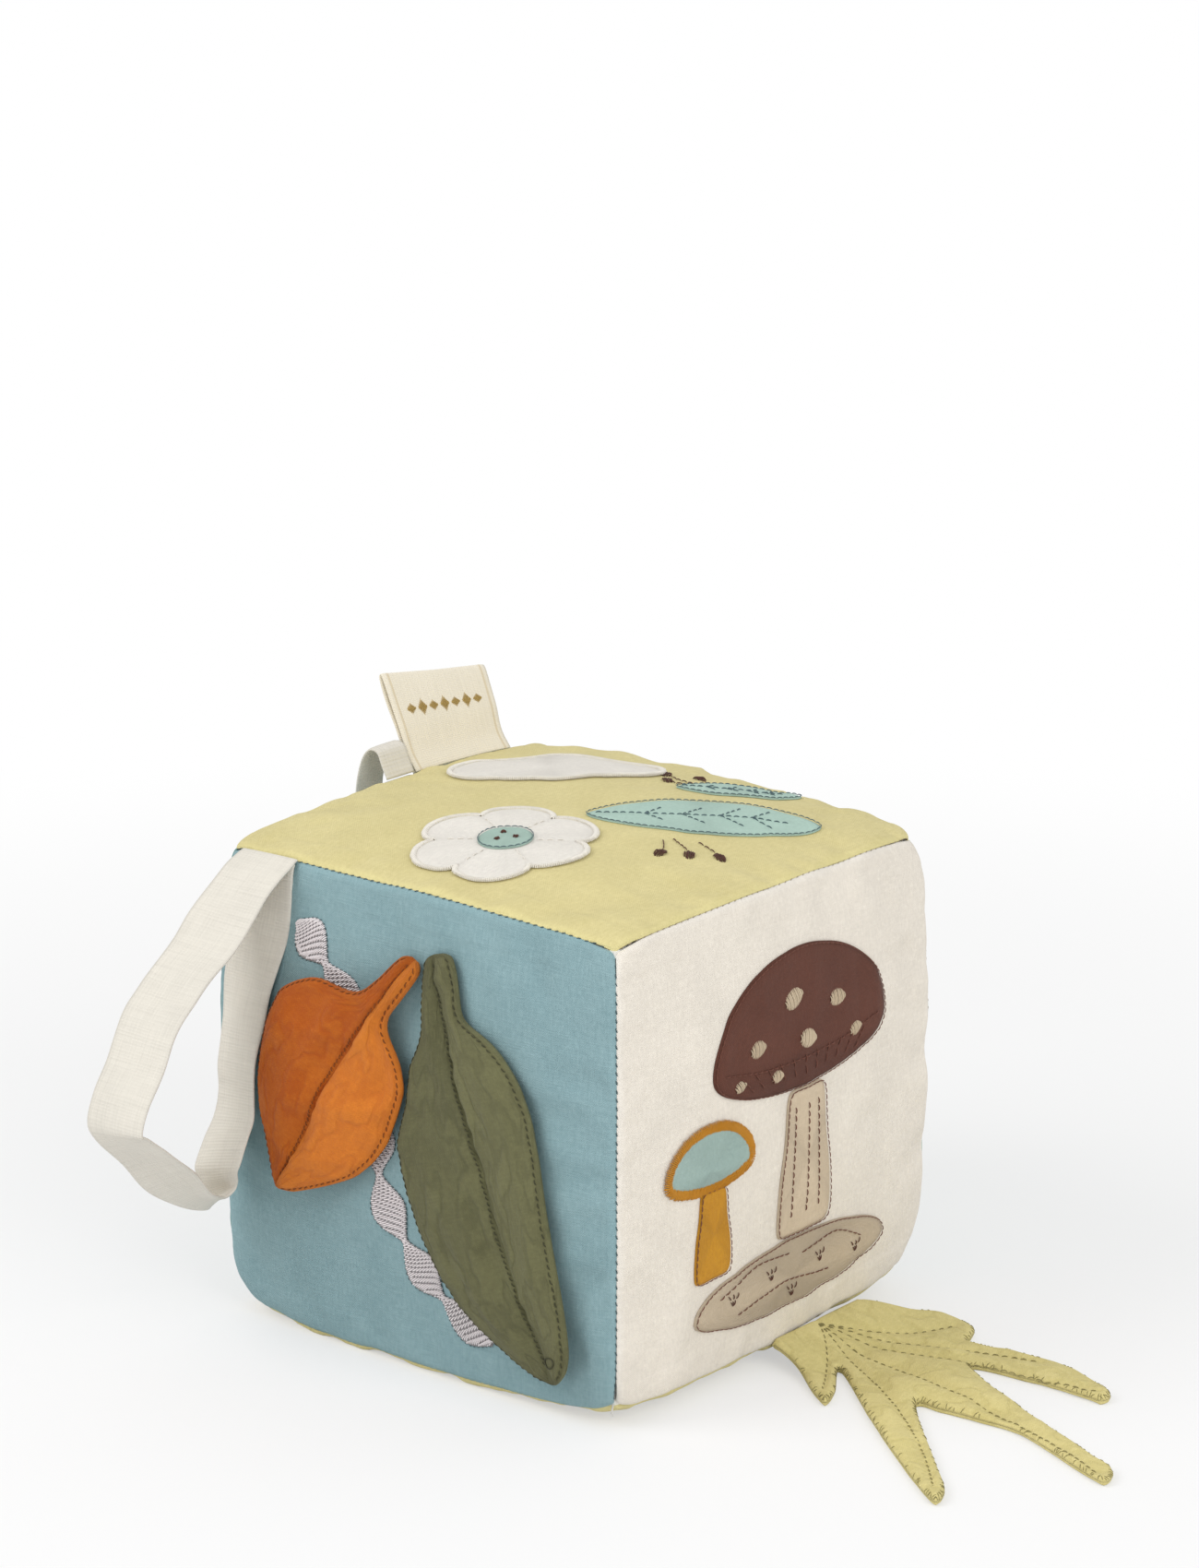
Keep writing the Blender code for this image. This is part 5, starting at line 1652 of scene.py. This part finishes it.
class WebbedLeaf:
    """The webbed leaf that lies on the floor, sewn in the right panel's lower seam."""

    STEP = 0.0013
    ROUND = 0.0017
    LOOSE_FROM = 0.0400
    PUFF = 0.0016
    VEIN_GROOVE = 0.00075
    EDGE_FOLDS = 0.00070
    BROAD_FOLDS = 0.00090
    RINGS = (0.0004, 0.0009, 0.0015, 0.0022, 0.0030)
    NET_INSET = 0.0036

    def __init__(self):
        self.outline, self.free = fan_outline()
        self.closed = np.vstack((self.outline, self.outline[:1]))
        self.grain = Grain(77)
        start = np.array(FAN_START)
        self.veins = []
        for control, end in FAN_VEINS:
            t = np.linspace(0, 1, 60)[:, None]
            control, end = np.array(control), np.array(end)
            self.veins.append((1 - t) ** 2 * start + 2 * t * (1 - t) * control + t**2 * end)
        seam = block_points(np.array(((1.0, FAN_MIDDLE_Y / HALF[1], -1.0),)))[0]
        self.seam = seam
        self.start = self.root_x(np.array((seam[1],)))[0]

    def root_x(self, y):
        """How far out the leaf starts at a place along its seam."""
        above = 2 * LEAF_STACK / (2 * HALF[2]) - 1
        units = np.stack((np.ones(len(y)), y / HALF[1], np.full(len(y), above)), -1)
        return block_points(units)[:, 0] + CLEARANCE

    def area(self):
        """Area of the leaf's flat cloth."""
        x, y = self.outline.T
        return float(abs((x * np.roll(y, -1) - np.roll(x, -1) * y).sum()) / 2)

    def cloth_height(self, flat, upper):
        """How far a cloth's outer face stands off the middle of the leaf."""
        near = line_distance(flat, self.outline[: self.free])
        rib = np.min([line_distance(flat, vein) for vein in self.veins], axis=0)
        rounding = np.sqrt(1 - (1 - np.minimum(near / self.ROUND, 1)) ** 2)
        level = np.full(len(flat), 2.0 if upper else 6.0)
        folds = self.grain(flat[:, 0] / 0.0045, flat[:, 1] / 0.0045, level)
        broad = self.grain(flat[:, 0] / 0.014, flat[:, 1] / 0.011, level + 4)
        puff = self.PUFF * clamped(near / 0.007) ** 0.8 * (1 - 0.8 * bell(rib, 0.0036))
        grooves = self.VEIN_GROOVE * bell(rib, 0.0010) * clamped(near / 0.003)
        slack = self.EDGE_FOLDS * folds * np.exp(-near / 0.006) * clamped(near / 0.0018)
        slack = slack + self.BROAD_FOLDS * broad * clamped(near / 0.005)
        loose = (puff + slack) * np.clip(flat[:, 0] / self.LOOSE_FROM, 0.1, 1)
        return np.maximum(rounding * LEAF_STACK / 2 + loose - grooves, rounding * 0.0006)

    def points(self, flat, height):
        """Places in the leaf: height is measured from the middle of its two cloths."""
        ease = 1 - clamped(flat[:, 0] / FAN_SLOPE)
        smooth = ease * ease * (3 - 2 * ease)
        rise = (self.seam[2] - LEAF_STACK / 2) * smooth
        y = flat[:, 1] + self.seam[1]
        x = flat[:, 0] + self.start + (self.root_x(y) - self.start) * ease
        z = np.maximum(rise + LEAF_STACK / 2 + height, 0.0)
        return np.stack((x, y, z), -1)

    def mesh(self, name, upper):
        """One closed cloth of the leaf, on an even net of points inside the outline."""
        points = [tuple(point) for point in self.outline]
        rim = len(points)
        ring = [inner for inset in self.RINGS for inner in self.inset_ring(inset)]
        low, high = self.outline.min(axis=0), self.outline.max(axis=0)
        net = []
        for row, y in enumerate(np.arange(low[1], high[1], self.STEP * 0.866)):
            shift = self.STEP / 2 * (row % 2)
            net += [(x + shift, y) for x in np.arange(low[0], high[0], self.STEP)]
        net = np.array(net)
        deep = line_distance(net, self.closed) > self.NET_INSET
        net = net[deep & self.inside(net)]
        points += [tuple(p) for p in ring] + [tuple(p) for p in net]
        made = delaunay_2d_cdt(
            [Vector(p) for p in points], [], [list(range(rim))], 1, 1e-7
        )
        flat = np.array([tuple(p) for p in made[0]])
        faces = [tuple(face) for face in made[2]]
        return self.closed_mesh(name, flat, faces, upper)

    def inside(self, places):
        """Which places lie inside the outline."""
        found = np.zeros(len(places), bool)
        for (x0, y0), (x1, y1) in zip(self.closed, self.closed[1:]):
            crosses = (y0 > places[:, 1]) != (y1 > places[:, 1])
            if y1 != y0:
                at = x0 + (places[:, 1] - y0) * (x1 - x0) / (y1 - y0)
                found ^= crosses & (places[:, 0] < at)
        return found

    def inset_ring(self, inset):
        """Points a little inside the outline, left out where the leaf is too narrow."""
        ahead = unit(np.roll(self.outline, -1, 0) - np.roll(self.outline, 1, 0))
        normal = np.stack((-ahead[:, 1], ahead[:, 0]), -1)
        ring = self.outline + normal * inset
        if not self.inside(ring[::7]).mean() > 0.5:
            ring = self.outline - normal * inset
        keep = (line_distance(ring, self.closed) > inset * 0.93) & self.inside(ring)
        return ring[keep]

    def closed_mesh(self, name, flat, faces, upper):
        """Close an outer face and an inner face along their common outline."""
        outer = self.cloth_height(flat, upper)
        on_rim = line_distance(flat, self.closed) < 1e-6
        sewn = on_rim & (flat[:, 0] < 1e-6)
        outer[on_rim & ~sewn] = 0.0
        inner = np.minimum(outer * 0.25, INNER_FACE)
        inner[sewn] = 0.00010
        sign = 1 if upper else -1
        top = self.points(flat, sign * outer)
        bottom = self.points(flat, sign * inner)
        count = len(flat)
        twin = np.where(on_rim & ~sewn, np.arange(count), np.arange(count) + count)
        back = [tuple(int(twin[v]) for v in reversed(face)) for face in faces]
        mesh = bpy.data.meshes.new(name)
        mesh.from_pydata(np.vstack((top, bottom)).tolist(), [], faces + back)
        bm = bmesh.new()
        bm.from_mesh(mesh)
        loose = [vert for vert in bm.verts if not vert.link_faces]
        bmesh.ops.delete(bm, geom=loose, context="VERTS")
        open_edges = [edge for edge in bm.edges if edge.is_boundary]
        bmesh.ops.holes_fill(bm, edges=open_edges, sides=0)
        bmesh.ops.triangulate(bm, faces=[face for face in bm.faces if len(face.verts) > 4])
        bmesh.ops.recalc_face_normals(bm, faces=bm.faces[:])
        bm.to_mesh(mesh)
        bm.free()
        places = vertex_places(mesh)
        weave_map(mesh, places[:, 0] - self.start, places[:, 1] - self.seam[1])
        mesh.shade_smooth()
        return mesh

    def line(self, flat, upper, lift=0.0001):
        """A line on one cloth's face, as places and directions."""
        height = self.cloth_height(flat, upper) + lift
        out = np.zeros((len(flat), 3))
        out[:, 2] = 1 if upper else -1
        return self.points(flat, height if upper else -height), out


class FABRICBLOCK_OT_webbed_leaf(bpy.types.Operator):
    """Webbed leaf that lies on the floor"""

    bl_idname = "fabric_block.webbed_leaf"
    bl_label = "Webbed leaf"

    def execute(self, context):
        chosen = settings()
        leaf = WebbedLeaf()
        # Painted shade: creases darken the cloth's colour as well as its bump
        finish = cotton("webbed_leaf_cotton", chosen.webbed, slub=0.7, crease_bump_and_shade=0.6)
        thread = thread_finish("webbed_leaf_thread", shade(chosen.webbed, 0.40))
        for side, upper in (("upper", True), ("lower", False)):
            name = f"fan_leaf_{side}"
            mesh = leaf.mesh(f"{name}_cloth", upper)
            piece = add_piece(
                f"{name}_cloth", mesh, finish, "fan_leaf", [name]
            )
            leaf.area()
        runs = []
        for number, vein in enumerate(leaf.veins):
            path, out = leaf.line(vein, True)
            runs += stitch_runs(
                path, out, chosen.stitch, chosen.stitch_gap, slant=0.00018, seed=90 + number
            )
        sew("fan_leaf_stitches", runs, chosen.thread, thread, "fan_leaf")
        self.overcast(leaf, thread, chosen)
        return {"FINISHED"}

    @staticmethod
    def overcast(leaf, thread, chosen):
        """Small stitches over the sewn edge, close together at tips and forks."""
        line = leaf.outline[: leaf.free]
        along = travel(line)
        random = np.random.default_rng(3)
        wanted = np.arange(0.004, along[-1] - 0.004, 0.0009)
        wanted = wanted + random.uniform(-0.0004, 0.0004, len(wanted))
        places = read_along(wanted, along, line)
        corners = np.array(FAN_TIPS + FAN_FORKS) * np.array((FAN_REACH, FAN_SPREAD))
        away = np.min([np.linalg.norm(places - corner, axis=1) for corner in corners], axis=0)
        kept = random.uniform(0, 1, len(wanted)) < 0.25 + 0.75 * bell(away, 0.0060)
        wanted, places = wanted[kept], places[kept]
        way = unit(read_along(wanted + 0.001, along, line) - places)
        inward = np.stack((-way[:, 1], way[:, 0]), -1)
        if not leaf.inside(places + inward * 0.0008).mean() > 0.5:
            inward = -inward
        runs = []
        for place, side, run in zip(places, inward, way):
            lean = run * random.uniform(-0.0005, 0.0005)
            deep = random.uniform(0.0006, 0.0013)
            flat = np.array([place + side * deep + lean, place + side * deep * 0.5,
                             place + side * 0.00005 - lean])
            high = leaf.cloth_height(flat, True) + np.array((0.00005, 0.00012, 0.00016))
            runs.append(leaf.points(flat, high))
        sew("fan_leaf_overcast", runs, chosen.thread * 0.8, thread, "fan_leaf", sides=0)


class Tape:
    """A woven tape folded into a loop, with both ends in one seam."""

    SWAY = 0.00030
    EDGE_WAVE = 0.00012
    DRAWN_OUT = 0.0008
    DRAWN_DOWN = 0.0019

    def __init__(self, spec, ripple, seed):
        self.spec = spec
        self.ripple = ripple
        self.grain = Grain(seed)
        self.seam = block_points(np.array((spec["unit"],), float))[0]
        self.side = np.array(spec["side"], float)
        self.along_seam = np.array((1.0, 0, 0) if self.side[1] else (0, 1.0, 0))
        root = (4 * CLEARANCE + spec["thick"] / 2) * math.sqrt(0.5)
        apart = ((spec["thick"] + CLEARANCE) / 2 + CLEARANCE / 2) * math.sqrt(0.5)
        stations = [(root - apart, -root - apart, 0.0, 0.0, 0.0)]
        for out_share, drop_share, *rest in spec["shares"]:
            lean, swing, dip = rest or (0.0, 0.0, 0.0)
            stations.append((
                out_share * spec["reach"], drop_share * spec["drop"], lean * spec["lean"],
                swing, dip,
            ))
        stations.append((root + apart, -root + apart, 0.0, 0.0, 0.0))
        self.stations = stations
        shares = np.linspace(0, 1, 800)
        self.travel = travel(self.middle(shares)[0])
        self.shares = shares
        self.length = self.travel[-1]

    def middle(self, shares):
        """The tape's middle line and its direction across, at shares of its stations."""
        out, down, shift, swing, dip = curve_through(self.stations, shares).T
        up = np.array((0.0, 0, 1.0))
        places = (
            self.seam + np.outer(out, self.side) - np.outer(down, up)
            - np.outer(shift, self.along_seam)
        )
        level = np.sqrt(1 - swing**2 - dip**2)
        across = (
            np.outer(level, self.along_seam) + np.outer(swing, self.side) - np.outer(dip, up)
        )
        return places, across

    def surface(self, way, across_share, face):
        """Places on the tape: way runs along it in metres, face is 0 or 1 for its sides."""
        spec = self.spec
        shares = np.interp(way, self.travel, self.shares)
        step = 1 / 400
        middle, across = self.middle(shares)
        ahead = self.middle(np.minimum(shares + step, 1))[0]
        ahead -= self.middle(np.maximum(shares - step, 0))[0]
        normal = unit(np.cross(ahead, across))
        ends = clamped(np.minimum(way, self.length - way) / 0.012)
        level = np.full(len(way), 1.0)
        sway = self.grain(way / 0.016, level, level) * self.SWAY * ends
        edge = self.grain(way / 0.006, np.sign(across_share), level + 3) * self.EDGE_WAVE * ends
        wave = self.grain(way / 0.013, across_share * 0.9, level + 7) * self.ripple * ends
        cup = 0.35 * self.ripple * (across_share**2) * ends
        reach = across_share * spec["width"] / 2 + sway + edge * across_share**2
        selvedge = 1 + 0.25 * bell(np.abs(across_share) - 0.93, 0.06)
        thick = spec["thick"] * 0.8 * selvedge * np.sqrt(
            np.maximum(1 - np.clip((np.abs(across_share) - 0.96) / 0.04, 0, 1) ** 2 * 0.75, 0)
        )
        lift = wave + cup + (0.5 - face) * thick
        sewn = np.minimum(way, self.length - way)
        bowed = self.bow(reach) * np.exp(-sewn / 0.0090)[:, None]
        drawn = self.side * self.DRAWN_OUT + (0, 0, self.DRAWN_DOWN)
        bowed -= drawn * np.exp(-sewn / 0.0030)[:, None]
        return middle + across * reach[:, None] + normal * lift[:, None] + bowed, normal

    def bow(self, reach):
        """How far the bowed seam lies off a straight line, at places along it."""
        units = np.tile(np.array(self.spec["unit"], float), (len(reach), 1))
        units += np.outer(reach, self.along_seam) / HALF
        return (block_points(units) - self.seam) * (1 - self.along_seam)

    def mesh(self, rows, columns):
        """The tape's closed mesh."""

        def place(a, b, inner):
            way = (1 + a) / 2 * self.length
            return self.surface(way, b, inner.astype(float))[0]

        name = f"{self.spec['name']}_tape"
        return cloth_mesh(name, place, rows, columns, (self.length, self.spec["width"]))


def add_tape(spec, ripple, seed, cells, finish, body, bend=None):
    """A tape on its body; given a bend, it is left in place without its body, and the bend's offset
    is not read.
    """
    tape = Tape(spec, ripple, seed)
    seam = Vector(tape.seam)
    name = spec["name"]
    piece = add_piece(
        f"{name}_tape", tape.mesh(*cells), finish, body, [name],
        bend and (seam, seam + Vector(bend)),
    )
    return tape


class FABRICBLOCK_OT_ribbon(bpy.types.Operator):
    """Long cotton tape loop in the front top seam"""

    bl_idname = "fabric_block.ribbon"
    bl_label = "Ribbon loop"

    def execute(self, context):
        chosen = settings()
        finish = tape_finish("ribbon_tape_cotton", chosen.tape, RIBBON["width"])
        add_tape(
            RIBBON, 0.0009, 41, (420, 18), finish, "ribbon",
            RIBBON_BEND,
        )
        return {"FINISHED"}


class FABRICBLOCK_OT_rear_ribbon(bpy.types.Operator):
    """Narrow cotton tape loop in the left top seam"""

    bl_idname = "fabric_block.rear_ribbon"
    bl_label = "Rear loop"

    def execute(self, context):
        chosen = settings()
        finish = tape_finish("rear_loop_cotton", chosen.tape, REAR_LOOP["width"])
        add_tape(
            REAR_LOOP, 0.0003, 43, (200, 12), finish, "rear_ribbon",
        )
        return {"FINISHED"}


class FABRICBLOCK_OT_label(bpy.types.Operator):
    """Folded woven label in the left top seam, with a row of small diamonds"""

    bl_idname = "fabric_block.label"
    bl_label = "Label"

    def execute(self, context):
        chosen = settings()
        finish = label_finish("label_satin", chosen.label, chosen.gold)
        tape = add_tape(
            TAG, 0.00035, 47, (220, 36), finish, "label",
            TAG_BEND,
        )
        runs = []
        middle = tape.length * 0.29
        for number in range(7):
            centre = (-0.66 + 0.22 * number) * TAG["width"] / 2
            tall = 0.0021 if number % 2 else 0.0013
            count = 9
            for strand in range(count):
                share = -1 + 2 * (strand + 0.5) / count
                reach = tall * (1 - abs(share)) + 0.0002
                way = middle + np.linspace(-1, 1, 4) * reach
                across = np.full(4, (centre + share * 0.0016) / (TAG["width"] / 2))
                place, normal = tape.surface(way, across, np.ones(4))
                arch = np.array((0.0, 0.00010, 0.00010, 0.0))[:, None]
                runs.append(place - normal * arch)
        gold = thread_finish("label_gold_thread", chosen.gold, dark=0.8)
        sew("tag_diamonds", runs, DIAMOND_THREAD, gold, "label", sides=0)
        return {"FINISHED"}


class FABRICBLOCK_OT_filling(bpy.types.Operator):
    """Finishes of the pieces inside: foam, rattle capsule, beads and crinkle film"""

    bl_idname = "fabric_block.filling"
    bl_label = "Filling"

    def execute(self, context):
        finishes = {
            "foam": hidden_finish("stuffing_foam", (0.86, 0.85, 0.79), 900.0, 0.95, 0.0004, 0.2),
            "capsule": hidden_finish("capsule_plastic", (0.66, 0.70, 0.74), 140.0, 0.32, 0.00003),
            "bead": hidden_finish("bead_plastic", (0.22, 0.24, 0.27), 260.0, 0.40, 0.00003),
            "film": hidden_finish("crinkle_film", (0.78, 0.81, 0.85), 240.0, 0.25, 0.0003),
        }
        for node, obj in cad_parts.items():
            for key, finish in finishes.items():
                if key in node:
                    for material_slot in obj.material_slots:
                        material_slot.material = finish
        return {"FINISHED"}


def soft_lamp(name, place, target, size, power):
    """A square lamp turned towards a target."""
    data = bpy.data.lights.new(name, "AREA")
    data.shape = "SQUARE"
    data.size = size
    data.energy = power
    lamp = bpy.data.objects.new(name, data)
    lamp.location = place
    way = Vector(target) - Vector(place)
    lamp.rotation_euler = way.to_track_quat("-Z", "Y").to_euler()
    bpy.context.scene.collection.objects.link(lamp)


class FABRICBLOCK_OT_stage(bpy.types.Operator):
    """Pale floor, soft lamps, white surroundings and the camera"""

    bl_idname = "fabric_block.stage"
    bl_label = "Stage"

    def execute(self, context):
        chosen = context.scene.fabric_stage
        self.add_floor(chosen)
        self.add_world(chosen)
        soft_lamp("key_lamp", (-0.55, -0.95, 1.05), LAMP_TARGET, 0.75, chosen.key_power)
        soft_lamp("fill_lamp", (1.25, -0.35, 0.85), LAMP_TARGET, 0.9, chosen.fill_power)
        self.add_camera()
        context.scene.view_settings.view_transform = "Standard"
        return {"FINISHED"}

    @staticmethod
    def add_floor(chosen):
        """A wide pale floor that fades to white far from the block and keeps its shadow."""
        bm = bmesh.new()
        bmesh.ops.create_circle(bm, cap_ends=True, radius=3.0, segments=96)
        mesh = bpy.data.meshes.new("floor")
        bm.to_mesh(mesh)
        bm.free()
        floor = bpy.data.objects.new("floor", mesh)
        bpy.context.scene.collection.objects.link(floor)
        finish = Finish("pale_floor", roughness=0.9)
        x, y, _z, place = finish.object_place()
        speck = finish.noise(place, 30.0, 2.0)
        pale = tuple(chosen.floor)
        finish.colour(finish.mixed(speck * 0.3, pale, shade(pale, 0.985)))
        far = (x * x + y * y).ramp(0.02, 0.30)
        rays = finish.node("ShaderNodeLightPath")
        seen = Wire(finish, rays.outputs["Is Camera Ray"])
        white = finish.node("ShaderNodeEmission", None, {"Color": (1, 1, 1, 1), "Strength": 1.0})
        output = finish.tree.nodes["Material Output"]
        mix = finish.node(
            "ShaderNodeMixShader", None,
            {0: (far * 0.5 + 0.5) * seen, 1: Wire(finish, finish.shader.outputs[0]),
             2: Wire(finish, white.outputs[0])},
        )
        finish.feed(output.inputs["Surface"], Wire(finish, mix.outputs[0]))
        floor.data.materials.append(finish.material)

    @staticmethod
    def add_world(chosen):
        """Even light, seen as white by the camera and in reflections."""
        world = bpy.data.worlds.new("white_surroundings")
        world.use_nodes = True
        bpy.context.scene.world = world
        tree = Tree(world.node_tree)
        sky = tree.tree.nodes["Background"]
        sky.inputs["Color"].default_value = (1, 1, 1, 1)
        sky.inputs["Strength"].default_value = chosen.sky
        white = tree.node("ShaderNodeBackground", None, {"Color": (1, 1, 1, 1), "Strength": 1.0})
        rays = tree.node("ShaderNodeLightPath")
        camera, glossy, clear = (
            Wire(tree, rays.outputs[f"Is {kind} Ray"])
            for kind in ("Camera", "Glossy", "Transmission")
        )
        seen = clear.maths("MAXIMUM", camera.maths("MAXIMUM", camera, glossy), clear)
        mix = tree.node(
            "ShaderNodeMixShader", None,
            {0: seen, 1: Wire(tree, sky.outputs[0]), 2: Wire(tree, white.outputs[0])},
        )
        surface = tree.tree.nodes["World Output"].inputs["Surface"]
        tree.feed(surface, Wire(tree, mix.outputs[0]))

    @staticmethod
    def add_camera():
        """The camera at the photograph's viewing angle."""
        back = Vector((
            math.sin(CAMERA_AZIMUTH) * math.cos(CAMERA_ELEVATION),
            -math.cos(CAMERA_AZIMUTH) * math.cos(CAMERA_ELEVATION),
            math.sin(CAMERA_ELEVATION),
        ))
        data = bpy.data.cameras.new("camera")
        data.sensor_fit = "VERTICAL"
        data.sensor_height = CAMERA_SENSOR
        data.lens = CAMERA_LENS
        camera = bpy.data.objects.new("camera", data)
        camera.location = CAMERA_TARGET + back * CAMERA_DISTANCE
        camera.rotation_euler = (-back).to_track_quat("-Z", "Y").to_euler()
        bpy.context.scene.collection.objects.link(camera)
        bpy.context.scene.camera = camera


OPERATORS = (
    FABRICBLOCK_OT_cover, FABRICBLOCK_OT_seams, FABRICBLOCK_OT_top_pictures,
    FABRICBLOCK_OT_right_picture, FABRICBLOCK_OT_vine, FABRICBLOCK_OT_orange_leaf,
    FABRICBLOCK_OT_green_leaf, FABRICBLOCK_OT_webbed_leaf, FABRICBLOCK_OT_ribbon,
    FABRICBLOCK_OT_rear_ribbon, FABRICBLOCK_OT_label, FABRICBLOCK_OT_filling,
    FABRICBLOCK_OT_stage,
)


class FABRICBLOCK_PT_panel(bpy.types.Panel):
    """Sidebar list of the block's pieces and settings"""

    bl_label = "Fabric block"
    bl_idname = "FABRICBLOCK_PT_panel"
    bl_space_type = "VIEW_3D"
    bl_region_type = "UI"
    bl_category = "Fabric block"

    def draw(self, context):
        for operator in OPERATORS:
            self.layout.operator(operator.bl_idname)
        for group in (context.scene.fabric_block, context.scene.fabric_stage):
            box = self.layout.box()
            for name in group.bl_rna.properties.keys():
                if name not in ("rna_type", "name"):
                    box.prop(group, name)


CLASSES = (FabricBlockSettings, FabricStageSettings, *OPERATORS, FABRICBLOCK_PT_panel)


def register():
    """Register the settings, operators and panel."""
    for cls in CLASSES:
        bpy.utils.register_class(cls)
    bpy.types.Scene.fabric_block = PointerProperty(type=FabricBlockSettings)
    bpy.types.Scene.fabric_stage = PointerProperty(type=FabricStageSettings)


def unregister():
    """Take them all out again."""
    del bpy.types.Scene.fabric_block
    del bpy.types.Scene.fabric_stage
    for cls in reversed(CLASSES):
        bpy.utils.unregister_class(cls)


def main():
    """Build every piece and the stage."""
    register()
    for operator in OPERATORS:
        group, name = operator.bl_idname.split(".")
        getattr(getattr(bpy.ops, group), name)()


if __name__ == "__main__":
    main()
